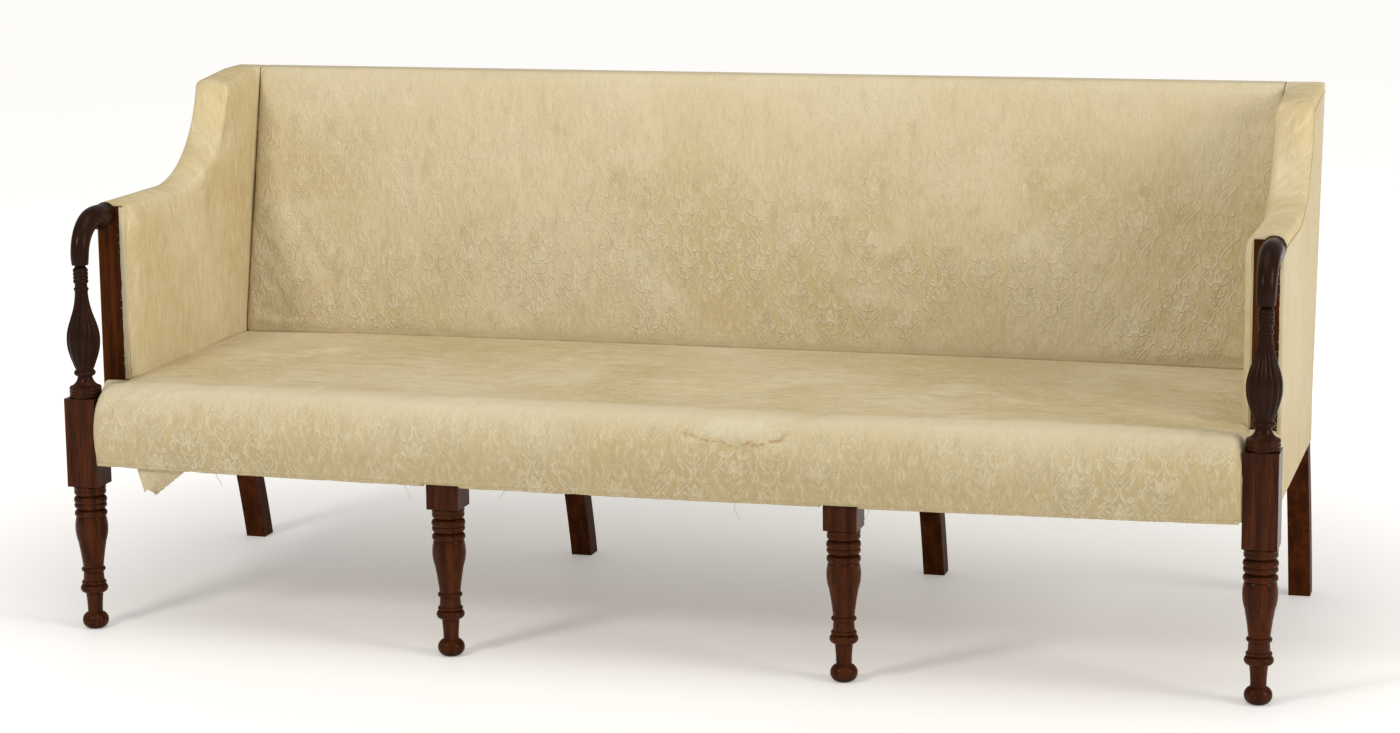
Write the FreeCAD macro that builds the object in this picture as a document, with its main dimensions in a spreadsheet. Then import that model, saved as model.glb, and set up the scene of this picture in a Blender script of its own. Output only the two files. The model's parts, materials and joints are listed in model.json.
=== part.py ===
import FreeCAD, Part
import os
import re
import Sketcher
from FreeCAD import Placement, Rotation, Vector

# Sofa with turned legs, reeded arm supports and swept arms. Millimetres, X along the
# sofa to the sitter's left, Y from the front to the back, Z up from the floor.

doc = FreeCAD.newDocument("Sofa")

# Driving sizes
SIZES = [
    ("post_spacing", 1940, "front corner post to front corner post, axis to axis"),
    ("inner_leg_spacing", 654, "inner leg to inner leg, axis to axis"),
    ("leg_height", 246, "floor to the underside of the square block"),
    ("block_side", 54, "side of the square block above the leg"),
    ("block_reveal", 42, "block showing under the seat rail"),
    ("block_rise", 35, "corner block above the seat rail"),
    ("rail_height", 72, "depth of the seat rails"),
    ("rail_bow", 28, "how far the front rail bows forward"),
    ("front_rail_thick", 40, "front seat rail thickness"),
    ("side_rail_thick", 34, "side seat rail thickness"),
    ("rear_rail_thick", 36, "rear seat rail thickness"),
    ("brace_width", 32, "seat brace thickness"),
    ("brace_drop", 18, "hollow of the seat brace's top edge"),
    ("arm_setback", 12, "arm frame inside the outer face of the block"),
    ("stile_setback", 102, "post axis to the front of the arm stile"),
    ("stile_width", 45, "arm stile width"),
    ("stile_depth", 45, "arm stile depth"),
    ("arm_rise", 340, "seat rail top to arm rail top"),
    ("arm_rail_depth", 42, "arm rail depth at the stile"),
    ("arm_flat", 218, "level length of the arm before its sweep"),
    ("sweep_run", 198, "length of the arm's sweep"),
    ("wing_drop", 15, "fall of the wing from the back to its front"),
    ("wing_nose", 11, "upright nose at the top of the sweep"),
    ("wing_depth", 74, "depth of the arm rail at the back"),
    ("tack_rail_depth", 28, "depth of the tack rails"),
    ("tack_rail_thick", 25, "thickness of the tack rails"),
    ("knee_setback", 570, "post axis to the front of the rear leg at the rail"),
    ("rear_leg_width", 37, "rear leg width"),
    ("rear_leg_depth", 38, "rear leg and back stile depth"),
    ("foot_rake", 102, "how far the rear foot stands behind the rail"),
    ("leg_sweep", 7, "curve of the rear leg"),
    ("back_rise", 519, "seat rail top to the top of the crest rail"),
    ("back_rake", 0.204, "lean of the back, run over rise"),
    ("crest_height", 34, "crest rail depth"),
    ("scroll_bend", 60, "bend radius of the scroll handle"),
    ("scroll_start", 12, "upright start of the scroll handle"),
    ("scroll_drop", 12, "scroll axis below the arm rail top"),
    ("scroll_slim", 13.5, "scroll radius at the support"),
    ("scroll_full", 19, "scroll radius at the arm"),
    ("foot_radius", 21.7, "ball foot radius"),
    ("ankle_radius", 12.5, "ankle radius"),
    ("ring_radius", 23, "lower ring radius"),
    ("waist_radius", 16.5, "waist radius"),
    ("vase_radius", 27.2, "leg vase radius"),
    ("collar_radius", 26.6, "collar radius at the block"),
    ("support_radius", 28, "reeded vase radius"),
    ("support_neck", 10.8, "neck radius of the arm support"),
    ("support_ring", 18, "ring radius under the reeded vase"),
    ("tenon_thick", 12, "tenon thickness"),
    ("tenon_length", 22, "tenon length"),
    ("stub_length", 18, "stub tenon length"),
    ("tenon_shoulder", 10, "shoulder above and below a tenon"),
    ("dowel_radius", 7, "round tenon radius"),
    ("peg_radius", 3, "joint peg radius"),
    ("joint_clearance", 0.2, "glue space round a tenon"),
    ("screw_radius", 2.5, "corner block screw radius"),
    ("screw_head_radius", 4.5, "corner block screw head radius"),
    ("screw_length", 30, "corner block screw length under the head"),
    ("corner_block_height", 44, "corner block height"),
    ("corner_block_leg", 62, "corner block reach along a rail"),
    ("web_width", 50, "webbing width"),
    ("web_thick", 1.5, "webbing thickness"),
    ("hessian_thick", 1, "hessian thickness"),
    ("cover_thick", 1.5, "cover thickness"),
    ("cover_gap", 0.3, "space between cover and what it covers"),
    ("tack_radius", 1, "tack shank radius"),
    ("tack_head_radius", 3.5, "tack head radius"),
    ("tack_length", 13, "tack shank length"),
    ("hem_width", 18, "cover turned under the front rail"),
    ("seat_rise", 50, "seat edge above the seat rail"),
    ("seat_crown", 20, "seat crown above its edge"),
    ("nose_depth", 24, "front roll of the seat beyond the rail"),
    ("lip_depth", 5, "front roll at its lower edge"),
    ("back_pad_thick", 18, "back stuffing at its edge"),
    ("back_crown", 9, "back crown above its edge"),
    ("arm_pad_thick", 13, "arm stuffing thickness"),
    ("web_lap", 26, "webbing lapped over a rail"),
    ("flap_inset", 72, "loose flap in from the end of the front rail"),
    ("flap_width", 92, "loose flap width"),
    ("flap_drop", 46, "loose flap length"),
]

# Places that follow from the driving sizes
PLACES = [
    ("half_span", "post_spacing / 2"),
    ("inner_x", "inner_leg_spacing / 2"),
    ("block_half", "block_side / 2"),
    ("rail_bottom", "leg_height + block_reveal"),
    ("rail_top", "rail_bottom + rail_height"),
    ("side_top", "rail_top + web_thick"),
    ("block_top", "rail_top + block_rise"),
    ("crest_top", "rail_top + back_rise"),
    ("crest_bottom", "crest_top - crest_height"),
    ("knee_low", "rail_bottom - 5"),
    ("knee_high", "rail_top + 5"),
    ("front_reach", "block_half + rail_bow + nose_depth"),
    ("rear_reach", "knee_setback + (crest_top - knee_high) * back_rake + rear_leg_depth"
                   " + cover_gap + cover_thick"),
    ("post_y", "(front_reach - rear_reach) / 2"),
    ("block_front", "post_y - block_half"),
    ("block_rear", "post_y + block_half"),
    ("rail_end", "half_span - block_half"),
    ("rail_radius", "(rail_end ^ 2 + rail_bow ^ 2) / (2 * rail_bow)"),
    ("rail_centre_y", "block_front - rail_bow + rail_radius"),
    ("inner_front", "rail_centre_y - sqrt(rail_radius ^ 2 - inner_x ^ 2)"),
    ("inner_y", "inner_front + block_half"),
    ("arm_out", "half_span + block_half - arm_setback"),
    ("arm_in", "arm_out - stile_width"),
    ("side_in", "arm_out - side_rail_thick"),
    ("leg_in", "arm_out - rear_leg_width"),
    ("stile_front", "post_y + stile_setback"),
    ("stile_rear", "stile_front + stile_depth"),
    ("knee_y", "post_y + knee_setback"),
    ("knee_rear", "knee_y + rear_leg_depth"),
    ("rear_rail_front", "knee_rear - rear_rail_thick"),
    ("foot_y", "knee_y + foot_rake"),
    ("arm_top", "rail_top + arm_rise"),
    ("arm_low", "arm_top - arm_rail_depth"),
    ("sweep_y", "stile_front + arm_flat"),
    ("sweep_rise", "crest_top - wing_drop - wing_nose - arm_top"),
    ("sweep_radius", "(sweep_run ^ 2 + sweep_rise ^ 2) / (2 * sweep_rise)"),
    ("sweep_centre", "arm_top + sweep_radius"),
    ("wing_low", "crest_top - wing_depth"),
    ("low_radius", "sweep_radius + arm_rail_depth"),
    ("low_end", "sweep_y + sqrt(low_radius ^ 2 - (sweep_centre - wing_low) ^ 2)"),
    ("arm_tack_z", "rail_top + 70"),
    ("back_tack_z", "rail_top + 112"),
    ("scroll_axis", "arm_top - scroll_drop"),
    ("scroll_base", "scroll_axis - scroll_bend - scroll_start"),
    ("brace_front", "rail_centre_y - sqrt(rail_radius ^ 2 - (inner_x + brace_width / 2) ^ 2)"
                    " + front_rail_thick"),
    ("seat_half", "arm_in - 3"),
    ("seat_floor", "rail_top + 2 * web_thick + hessian_thick"),
    ("seat_back_y", "knee_y - 4"),
    ("back_layers", "2 * web_thick + hessian_thick"),
    ("arm_face", "arm_in - hessian_thick - arm_pad_thick - cover_gap - cover_thick"),
    ("back_half", "arm_face - 1"),
    ("back_low", "rail_top + seat_rise + 4"),
]

sheets = {}
home = {}


def bound(text):
    """The same words, each led by the name of the sheet that holds it."""
    return re.sub(r"[a-z][a-z_]+", lambda word: home.get(word[0], "") + word[0], text)


def fill_sheet(name, rows):
    sheet = doc.addObject("Spreadsheet::Sheet", name)
    sheets[name] = sheet
    for row, (alias, content, meaning) in enumerate(rows, 1):
        sheet.set(f"A{row}", meaning)
        sheet.set(f"B{row}", content)
        sheet.setAlias(f"B{row}", alias)
        home[alias] = name + "."
    doc.recompute()


fill_sheet("Sizes", [(alias, str(number), meaning) for alias, number, meaning in SIZES])
rows = []
for alias, formula in PLACES:
    rows.append((alias, "=" + bound(formula), alias.replace("_", " ")))
fill_sheet("Places", rows)


def mm(text):
    """The number that an expression in sheet words stands for."""
    return float(sheets["Sizes"].evalExpression(bound(text)))


def lean(height):
    """Front plane of the back frame at a height."""
    return f"(knee_y + (({height}) - knee_high) * back_rake)"


def bowed(across):
    """Front face of the bowed front rail at a distance from the middle."""
    return f"(rail_centre_y - sqrt(rail_radius ^ 2 - ({across}) ^ 2))"


# Building helpers
def outline(body, name, plane, points, lift=None):
    """A closed outline: (u, v) leads to a straight edge, (u, v, mid u, mid v) to an arc."""
    sketch = body.newObject("Sketcher::SketchObject", name)
    face = next(f for f in body.Origin.OriginFeatures if f.Role == plane)
    sketch.AttachmentSupport = [(face, "")]
    sketch.MapMode = "FlatFace"
    if lift:
        sketch.setExpression("AttachmentOffset.Base.z", bound(lift))
    corners = [Vector(mm(p[0]), mm(p[1]), 0) for p in points]
    rules = []
    drives = []
    starts = []
    ends = []

    def drive(kind, geometry, end, text):
        if text == "0":
            axis = -2 if kind == "DistanceX" else -1
            rules.append(Sketcher.Constraint("PointOnObject", geometry, end, axis))
            return
        drives.append((len(rules), bound(text)))
        rules.append(Sketcher.Constraint(kind, -1, 1, geometry, end, mm(text)))

    for i, point in enumerate(points):
        here = corners[i]
        there = corners[(i + 1) % len(points)]
        if len(point) == 2:
            edge = sketch.addGeometry(Part.LineSegment(here, there))
            starts.append((edge, 1))
            ends.append((edge, 2))
            continue
        middle = Vector(mm(point[2]), mm(point[3]), 0)
        turns_left = (middle - here).cross(there - here).z > 0
        if turns_left:
            edge = sketch.addGeometry(Part.Arc(here, middle, there))
        else:
            edge = sketch.addGeometry(Part.Arc(there, middle, here))
        starts.append((edge, 1 if turns_left else 2))
        ends.append((edge, 2 if turns_left else 1))
        mark = sketch.addGeometry(Part.Point(middle), True)
        rules.append(Sketcher.Constraint("PointOnObject", mark, 1, edge))
        drive("DistanceX", mark, 1, point[2])
        drive("DistanceY", mark, 1, point[3])
    for i, point in enumerate(points):
        rules.append(Sketcher.Constraint("Coincident", *ends[i - 1], *starts[i]))
        drive("DistanceX", *starts[i], point[0])
        drive("DistanceY", *starts[i], point[1])
    sketch.addConstraint(rules)
    for index, text in drives:
        sketch.setExpression(f"Constraints[{index}]", text)
    return sketch


def pad(body, name, plane, points, lift, length):
    sketch = outline(body, name + "_outline", plane, points, lift)
    feature = body.newObject("PartDesign::Pad", name)
    feature.Profile = sketch
    feature.setExpression("Length", bound(length))
    return feature


def turn(body, name, points):
    sketch = outline(body, name + "_outline", "XZ_Plane", points)
    feature = body.newObject("PartDesign::Revolution", name)
    feature.Profile = sketch
    feature.ReferenceAxis = (sketch, ["V_Axis"])
    feature.Angle = 360
    return feature


def box(name, x, y, z):
    """A block between pairs of sheet expressions."""
    block = doc.addObject("Part::Box", name)
    for axis, side, (low, high) in (("x", "Length", x), ("y", "Width", y), ("z", "Height", z)):
        block.setExpression(side, bound(f"({high}) - ({low})"))
        block.setExpression("Placement.Base." + axis, bound(low))
    return block


def rod(name, radius, length, start, axis):
    """A round bar from a start point along an axis."""
    bar = doc.addObject("Part::Cylinder", name)
    bar.setExpression("Radius", bound(radius))
    bar.setExpression("Height", bound(length))
    bar.Placement = Placement(Vector(), Rotation(Vector(0, 0, 1), Vector(*axis)))
    for name_axis, text in zip("xyz", start):
        bar.setExpression("Placement.Base." + name_axis, bound(text))
    return bar


def mirrored(source, name):
    twin = doc.addObject("Part::Mirroring", name)
    twin.Source = source
    twin.Base = Vector(0, 0, 0)
    twin.Normal = Vector(1, 0, 0)
    return twin


class Piece:
    """One piece of the sofa: what it is made of and what is cut away from it."""

    def __init__(self, label, base, side=""):
        self.label = label
        self.side = side
        self.solids = [base]
        self.cuts = []
        pieces[label] = self

    def add(self, tool):
        self.solids.append(tool)
        if not self.side:
            self.solids.append(mirrored(tool, tool.Name + "_twin"))

    def cut(self, tool):
        self.cuts.append(tool)
        if not self.side:
            self.cuts.append(mirrored(tool, tool.Name + "_twin"))

    def finish(self):
        result = self.solids[0]
        if len(self.solids) > 1:
            result = doc.addObject("Part::MultiFuse", self.label + "_joined")
            result.Shapes = self.solids
        if self.cuts:
            tools = self.cuts[0]
            if len(self.cuts) > 1:
                tools = doc.addObject("Part::Compound", self.label + "_tools")
                tools.Links = self.cuts
            whole = doc.addObject("Part::Cut", self.label + "_cut")
            whole.Base = result
            whole.Tool = tools
            result = whole
        if not self.side:
            nodes.append((self.label, result))
            return
        nodes.append((self.label + "_right", result))
        nodes.append((self.label + "_left", mirrored(result, self.label + "_left")))


pieces = {}
nodes = []


def new_body(name):
    return doc.addObject("PartDesign::Body", name + "_body")


def tenon(owner, host, name, x, y, z):
    """A tenon on one piece and, a glue space larger, its mortise in the other."""
    pieces[owner].add(box(name + "_tenon", x, y, z))
    wider = [(f"({low}) - joint_clearance", f"({high}) + joint_clearance") for low, high in (x, y, z)]
    pieces[host].cut(box(name + "_mortise", *wider))


def shape_node(label, shape):
    """A piece whose form comes from its sections; it stands where its sections stand."""
    feature = doc.addObject("Part::Feature", label)
    feature.Shape = shape
    feature.Placement = Placement()
    nodes.append((label, feature))
    return feature


def flat_twin(shape):
    return shape.mirror(Vector(0, 0, 0), Vector(1, 0, 0))


# Turned work: (radius, share of the height, bulge) from the bottom up
LEG_TURNING = [
    ("ankle_radius", 0.110, "foot_radius - ankle_radius"),
    ("ankle_radius * 1.18", 0.142, "-0.6"),
    ("ring_radius - 4.6", 0, None),
    ("ring_radius - 4.6", 0.055, "4.6"),
    ("waist_radius + 1", 0.026, "2.6"),
    ("waist_radius", 0.063, None),
    ("waist_radius + 0.4", 0.030, "3.4"),
    ("vase_radius - 3.8", 0.180, "-0.5"),
    ("vase_radius - 2", 0.166, "2.9"),
    ("vase_radius - 3", 0.010, None),
    ("vase_radius - 3", 0.043, "3"),
    ("vase_radius - 5", 0.007, None),
    ("vase_radius - 3", 0.007, None),
    ("vase_radius - 2", 0.037, "2.3"),
    ("vase_radius - 3", 0.045, "2.8"),
    ("vase_radius - 5", 0.009, None),
    ("collar_radius - 1", 0.007, None),
    ("collar_radius - 0.8", 0.031, "0.9"),
    ("collar_radius - 0.8", 0.032, "0.9"),
]
SUPPORT_FOOT = [
    ("collar_radius - 0.8", 0.027, "0.9"),
    ("collar_radius - 0.8", 0.027, "0.9"),
    ("collar_radius - 1", 0.027, "0.9"),
    ("support_neck + 1.5", 0.068, "-3.6"),
    ("support_neck + 1.5", 0.014, None),
    ("support_ring - 3", 0, None),
    ("support_ring - 3", 0.041, "3"),
    ("support_neck - 2", 0, None),
]
SUPPORT_HEAD = [
    ("support_neck - 0.3", 0, None),
    ("support_neck - 0.3", 0.027, "1.9"),
    ("support_neck - 0.6", 0.032, None),
    ("support_neck + 0.6", 0, None),
    ("support_neck + 0.6", 0.0275, "1.2"),
    ("support_neck + 0.6", 0.0275, "1.2"),
    ("support_neck + 0.6", 0.0275, "1.2"),
    ("support_neck + 0.6", 0.0275, "1.2"),
    ("dowel_radius", 0, None),
]
# Reeded vase: share of its height and share of its widest radius
REEDED_VASE = [
    (0, 0.50), (0.075, 0.66), (0.17, 0.82), (0.27, 0.95), (0.37, 1), (0.47, 0.97),
    (0.58, 0.84), (0.69, 0.66), (0.80, 0.51), (0.91, 0.42), (1, 0.385),
]
REEDS = 14


def turned_points(start, base, height, steps):
    """Corners and arc midpoints of a turning, and the share of the height it reaches."""
    points = []
    radius, share = start
    for new_radius, rise, bulge in steps:
        here = f"{base} + {share:.4f} * ({height})" if share else base
        if bulge:
            middle = f"(({radius}) + ({new_radius})) / 2 + ({bulge})"
            points.append((radius, here, middle, f"{base} + {share + rise / 2:.4f} * ({height})"))
        else:
            points.append((radius, here))
        radius = new_radius
        share += rise
    return points, radius, share


# Front corner post: leg, block and arm support from one stick
SUPPORT = "scroll_base - block_top"


def turned_leg(name):
    body = new_body(name)
    points, radius, _ = turned_points(("foot_radius * 0.6", 0), "0", "leg_height", LEG_TURNING)
    turn(body, name + "_turning", [("0", "0")] + points + [(radius, "leg_height"), ("0", "leg_height")])
    return body


def square_block(body, name, top):
    corners = [("-block_half", "-block_half"), ("block_half", "-block_half"),
               ("block_half", "block_half"), ("-block_half", "block_half")]
    pad(body, name + "_block", "XY_Plane", corners, "leg_height", f"{top} - leg_height")


post = turned_leg("front_post")
square_block(post, "front_post", "block_top")
low, radius, share = turned_points(("collar_radius - 0.8", 0), "block_top", SUPPORT, SUPPORT_FOOT)
vase_low = f"block_top + {share:.4f} * ({SUPPORT})"
high, top_radius, top_share = turned_points((radius, 1 - 0.196), "block_top", SUPPORT, SUPPORT_HEAD)
vase_high = f"block_top + {1 - 0.196:.4f} * ({SUPPORT})"
turn(post, "front_post_support",
     [("0", "block_top")] + low + high
     + [(top_radius, "scroll_base"), (top_radius, "scroll_base + tenon_length"),
        ("0", "scroll_base + tenon_length")])
post.setExpression("Placement.Base.x", bound("half_span"))
post.setExpression("Placement.Base.y", bound("post_y"))
front_post = Piece("front_post", post, "right")


def reeded_ring(radius, height):
    """One section of the vase: a ring of rounded reeds."""
    valley = radius * 0.925
    ring = []
    for reed in range(REEDS):
        spots = []
        for step, reach in ((0, valley), (0.5, radius), (1, valley)):
            turned = Rotation(Vector(0, 0, 1), (reed + step) * 360 / REEDS)
            spots.append(turned.multVec(Vector(reach, 0, 0)) + Vector(mm("half_span"), mm("post_y"), height))
        ring.append(Part.Arc(*spots).toShape())
    return Part.Wire(ring)


vase = doc.addObject("Part::Feature", "reeded_vase")
vase.Shape = Part.makeLoft(
    [reeded_ring(girth * mm("support_radius"), mm(vase_low) + share * (mm(vase_high) - mm(vase_low)))
     for share, girth in REEDED_VASE], True, False)
vase.Placement = Placement()
front_post.add(vase)

# Inner front leg
inner = turned_leg("front_leg_inner")
square_block(inner, "front_leg_inner", "rail_bottom")
inner.setExpression("Placement.Base.x", bound("inner_x"))
inner.setExpression("Placement.Base.y", bound("inner_y"))
Piece("front_leg_inner", inner, "right")

# Rear corner leg running up into the back stile, and the shorter inner rear leg
LEG_SHIFT = "(foot_y + knee_y) / 2 + leg_sweep"


def raked_leg(name, top, x_low):
    """Side outline of a rear leg; above the rail the corner leg leans with the back."""
    body = new_body(name)
    front = [("foot_y", "0", LEG_SHIFT, "knee_low / 2"), ("knee_y", "knee_low")]
    rear = [("knee_rear", "knee_low", LEG_SHIFT + " + rear_leg_depth", "knee_low / 2"),
            ("foot_y + rear_leg_depth", "0")]
    pad(body, name + "_side", "YZ_Plane", front + top + rear, x_low, "rear_leg_width")
    return body


stile_top = [("knee_y", "knee_high"), (lean("crest_bottom"), "crest_bottom"),
             (lean("crest_bottom") + " + rear_leg_depth", "crest_bottom"), ("knee_rear", "knee_high")]
Piece("rear_post", raked_leg("rear_post", stile_top, "leg_in"), "right")
short_top = [("knee_y", "rail_bottom"), ("knee_rear", "rail_bottom")]
Piece("rear_leg_inner", raked_leg("rear_leg_inner", short_top, "inner_x - rear_leg_width / 2"), "right")

# Seat rails
front_rail = new_body("front_seat_rail")
pad(front_rail, "front_rail_bow", "XY_Plane",
    [("-rail_end", "block_front", "0", "block_front - rail_bow"), ("rail_end", "block_front"),
     ("rail_end", "block_front + front_rail_thick", "0", "block_front - rail_bow + front_rail_thick"),
     ("-rail_end", "block_front + front_rail_thick")], "rail_bottom", "rail_height")
Piece("front_seat_rail", front_rail)
Piece("rear_seat_rail", box("rear_rail_bar", ("-leg_in", "leg_in"), ("rear_rail_front", "knee_rear"),
                            ("rail_bottom", "rail_top")))
Piece("side_seat_rail", box("side_rail_bar", ("side_in", "arm_out"), ("block_rear", "knee_y"),
                            ("rail_bottom", "side_top")), "right")
brace = new_body("seat_brace")
pad(brace, "brace_side", "YZ_Plane",
    [("brace_front", "rail_bottom + 4"), ("rear_rail_front", "rail_bottom + 4"),
     ("rear_rail_front", "rail_top - 8", "(brace_front + rear_rail_front) / 2", "rail_top - 8 - brace_drop"),
     ("brace_front", "rail_top - 8")], "inner_x - brace_width / 2", "brace_width")
Piece("seat_brace", brace, "right")

# Back frame
crest = new_body("crest_rail")
pad(crest, "crest_side", "YZ_Plane",
    [(lean("crest_bottom"), "crest_bottom"), (lean("crest_top"), "crest_top"),
     (lean("crest_top") + " + rear_leg_depth", "crest_top"),
     (lean("crest_bottom") + " + rear_leg_depth", "crest_bottom")], "-arm_out", "2 * arm_out")
Piece("crest_rail", crest)
upright = new_body("back_upright")
pad(upright, "upright_side", "YZ_Plane",
    [("knee_y", "rail_top"), ("knee_y", "knee_high"), (lean("crest_bottom"), "crest_bottom"),
     (lean("crest_bottom") + " + rear_leg_depth", "crest_bottom"), ("knee_rear", "knee_high"),
     ("knee_rear", "rail_top")], "inner_x - rear_leg_width / 2", "rear_leg_width")
Piece("back_upright", upright, "right")

# Back tack rails: three lengths between the uprights
TACK_SIDE = [(lean("back_tack_z"), "back_tack_z"),
             (lean("back_tack_z + tack_rail_depth"), "back_tack_z + tack_rail_depth"),
             (lean("back_tack_z + tack_rail_depth") + " + tack_rail_thick", "back_tack_z + tack_rail_depth"),
             (lean("back_tack_z") + " + tack_rail_thick", "back_tack_z")]
UPRIGHT_IN = "inner_x - rear_leg_width / 2"
UPRIGHT_OUT = "inner_x + rear_leg_width / 2"
side_tack = new_body("back_tack_side")
pad(side_tack, "back_tack_side_bar", "YZ_Plane", TACK_SIDE, UPRIGHT_OUT, f"leg_in - ({UPRIGHT_OUT})")
Piece("back_tack_rail", side_tack, "right")
mid_tack = new_body("back_tack_middle")
pad(mid_tack, "back_tack_middle_bar", "YZ_Plane", TACK_SIDE, f"-({UPRIGHT_IN})", f"2 * ({UPRIGHT_IN})")
Piece("back_tack_rail_middle", mid_tack)

# Arm frame
stile = box("arm_stile_bar", ("arm_in", "arm_out"), ("stile_front", "stile_rear"), ("side_top", "arm_low"))
Piece("arm_stile", stile, "right")


def arc_middle(radius, half_of):
    """Midpoint of an arc about the sweep's centre, from straight below it to a point."""
    y, z = half_of
    across = f"(({y}) - sweep_y) / 2"
    up = f"(sweep_centre - ({z}) + {radius}) / 2"
    reach = f"sqrt(({across}) ^ 2 + ({up}) ^ 2)"
    return f"sweep_y + ({across}) * {radius} / {reach}", f"sweep_centre - ({up}) * {radius} / {reach}"


SWEEP_END = ("sweep_y + sweep_run", "arm_top + sweep_rise")
LOW_END = ("low_end", "wing_low")
arm_rail = new_body("arm_top_rail")
pad(arm_rail, "arm_rail_side", "YZ_Plane",
    [("stile_front", "arm_low"), ("stile_front", "arm_top"),
     ("sweep_y", "arm_top", *arc_middle("sweep_radius", SWEEP_END)), SWEEP_END,
     ("sweep_y + sweep_run + 5", "arm_top + sweep_rise + wing_nose"), (lean("crest_top"), "crest_top"),
     (lean("wing_low"), "wing_low"), (*LOW_END, *arc_middle("low_radius", LOW_END)),
     ("sweep_y", "arm_low")], "arm_in", "stile_width")
Piece("arm_top_rail", arm_rail, "right")
arm_tack = new_body("arm_tack_rail")
ARM_TACK_TOP = "arm_tack_z + tack_rail_depth"
pad(arm_tack, "arm_tack_side", "YZ_Plane",
    [("stile_rear", "arm_tack_z"), ("stile_rear", ARM_TACK_TOP), (lean(ARM_TACK_TOP), ARM_TACK_TOP),
     (lean("arm_tack_z"), "arm_tack_z")], "arm_in", "tack_rail_thick")
Piece("arm_tack_rail", arm_tack, "right")

# Scroll handle: a bent bar that grows from the support to the arm rail


def scroll_section(y, z, forward, radius, flat):
    """An oval section square to the handle's run."""
    side = Vector(1, 0, 0)
    over = forward.cross(side)
    spots = [side * radius, (side + over * flat) * (radius * 0.7071), over * (radius * flat)]
    centre = Vector(mm("half_span"), y, z)
    ring = []
    quarter = [spots[0], spots[1], spots[2]]
    for turn_x, turn_over in ((1, 1), (-1, 1), (-1, -1), (1, -1)):
        arc = [centre + side * (turn_x * p.dot(side)) + over * (turn_over * p.dot(over)) for p in quarter]
        if turn_x * turn_over < 0:
            arc.reverse()
        ring.append(Part.Arc(*arc).toShape())
    return Part.Wire(ring)


def scroll_shape():
    bend = mm("scroll_bend")
    slim = mm("scroll_slim")
    grow = mm("scroll_full") - slim
    start = mm("scroll_base")
    lift = mm("scroll_start")
    sections = [scroll_section(mm("post_y"), start, Vector(0, 0, 1), slim, 1.02),
                scroll_section(mm("post_y"), start + lift, Vector(0, 0, 1), slim + 0.2 * grow, 1.06)]
    for step in range(1, 6):
        heading = Rotation(Vector(1, 0, 0), -90 * step / 5).multVec(Vector(0, 0, 1))
        y = mm("post_y") + bend * (1 - heading.z)
        z = start + lift + bend * heading.y
        radius = slim + grow * (0.2 + 0.12 * step)
        sections.append(scroll_section(y, z, heading, radius, 1.06 - 0.012 * step))
    sections.append(scroll_section(mm("stile_front"), mm("scroll_axis"), Vector(0, 1, 0), slim + grow, 1))
    return Part.makeLoft(sections, True, False)


scroll = doc.addObject("Part::Feature", "scroll_bar")
scroll.Shape = scroll_shape()
scroll.Placement = Placement()
arm_scroll = Piece("arm_scroll", scroll, "right")
arm_scroll.cut(rod("scroll_socket", "dowel_radius + joint_clearance", "tenon_length + 2 * joint_clearance",
                   ("half_span", "post_y", "scroll_base - joint_clearance"), (0, 0, 1)))
arm_scroll.add(rod("scroll_dowel", "dowel_radius", "tenon_length + 10",
                   ("half_span", "stile_front - 10", "scroll_axis - 5"), (0, 1, 0)))
pieces["arm_top_rail"].cut(
    rod("scroll_dowel_hole", "dowel_radius + joint_clearance", "tenon_length + 2 * joint_clearance",
        ("half_span", "stile_front - joint_clearance", "scroll_axis - 5"), (0, 1, 0)))

# Mortise and tenon joints
RAIL_BAND = ("rail_bottom + tenon_shoulder", "rail_top - tenon_shoulder")
SIDE_TENON = ("arm_out - 23", "arm_out - 23 + tenon_thick")
tenon("front_seat_rail", "front_post", "front_rail", ("rail_end - 2", "rail_end + tenon_length - 2"),
      ("block_front + 14", "block_front + 14 + tenon_thick"), RAIL_BAND)
tenon("side_seat_rail", "front_post", "side_rail_front", SIDE_TENON,
      ("block_rear - tenon_length + 2", "block_rear + 2"), RAIL_BAND)
tenon("side_seat_rail", "rear_post", "side_rail_rear", SIDE_TENON,
      ("knee_y - 2", "knee_y + tenon_length - 2"), RAIL_BAND)
tenon("rear_seat_rail", "rear_post", "rear_rail", ("leg_in - 2", "leg_in + tenon_length - 2"),
      ("knee_rear - 13", "knee_rear - 5"), RAIL_BAND)
LEG_TENON_X = ("inner_x - 13", "inner_x + 13")
tenon("front_leg_inner", "front_seat_rail", "inner_leg", LEG_TENON_X,
      ("inner_y - 13", "inner_y - 13 + tenon_thick"), ("rail_bottom - 2", "rail_bottom + tenon_length"))
tenon("rear_leg_inner", "rear_seat_rail", "inner_rear_leg", LEG_TENON_X,
      ("knee_rear - 24", "knee_rear - 24 + tenon_thick"), ("rail_bottom - 2", "rail_bottom + tenon_length"))
BRACE_TENON_X = ("inner_x - brace_width / 4", "inner_x + brace_width / 4")
BRACE_BAND = ("rail_top - 34", "rail_top - 14")
tenon("seat_brace", "front_seat_rail", "brace_front", BRACE_TENON_X, ("brace_front - 9", "brace_front + 2"),
      BRACE_BAND)
tenon("seat_brace", "rear_seat_rail", "brace_rear", BRACE_TENON_X,
      ("rear_rail_front - 2", "rear_rail_front + 9"), BRACE_BAND)
tenon("back_upright", "rear_seat_rail", "upright_foot", ("inner_x - 12", "inner_x + 12"),
      ("knee_rear - 22", "knee_rear - 22 + tenon_thick"), ("rail_top - stub_length", "rail_top + 2"))
CREST_TENON_Y = (lean("crest_bottom") + " + 16", lean("crest_bottom") + " + 16 + tenon_thick")
CREST_TENON_Z = ("crest_bottom - 2", "crest_bottom + stub_length")
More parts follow.
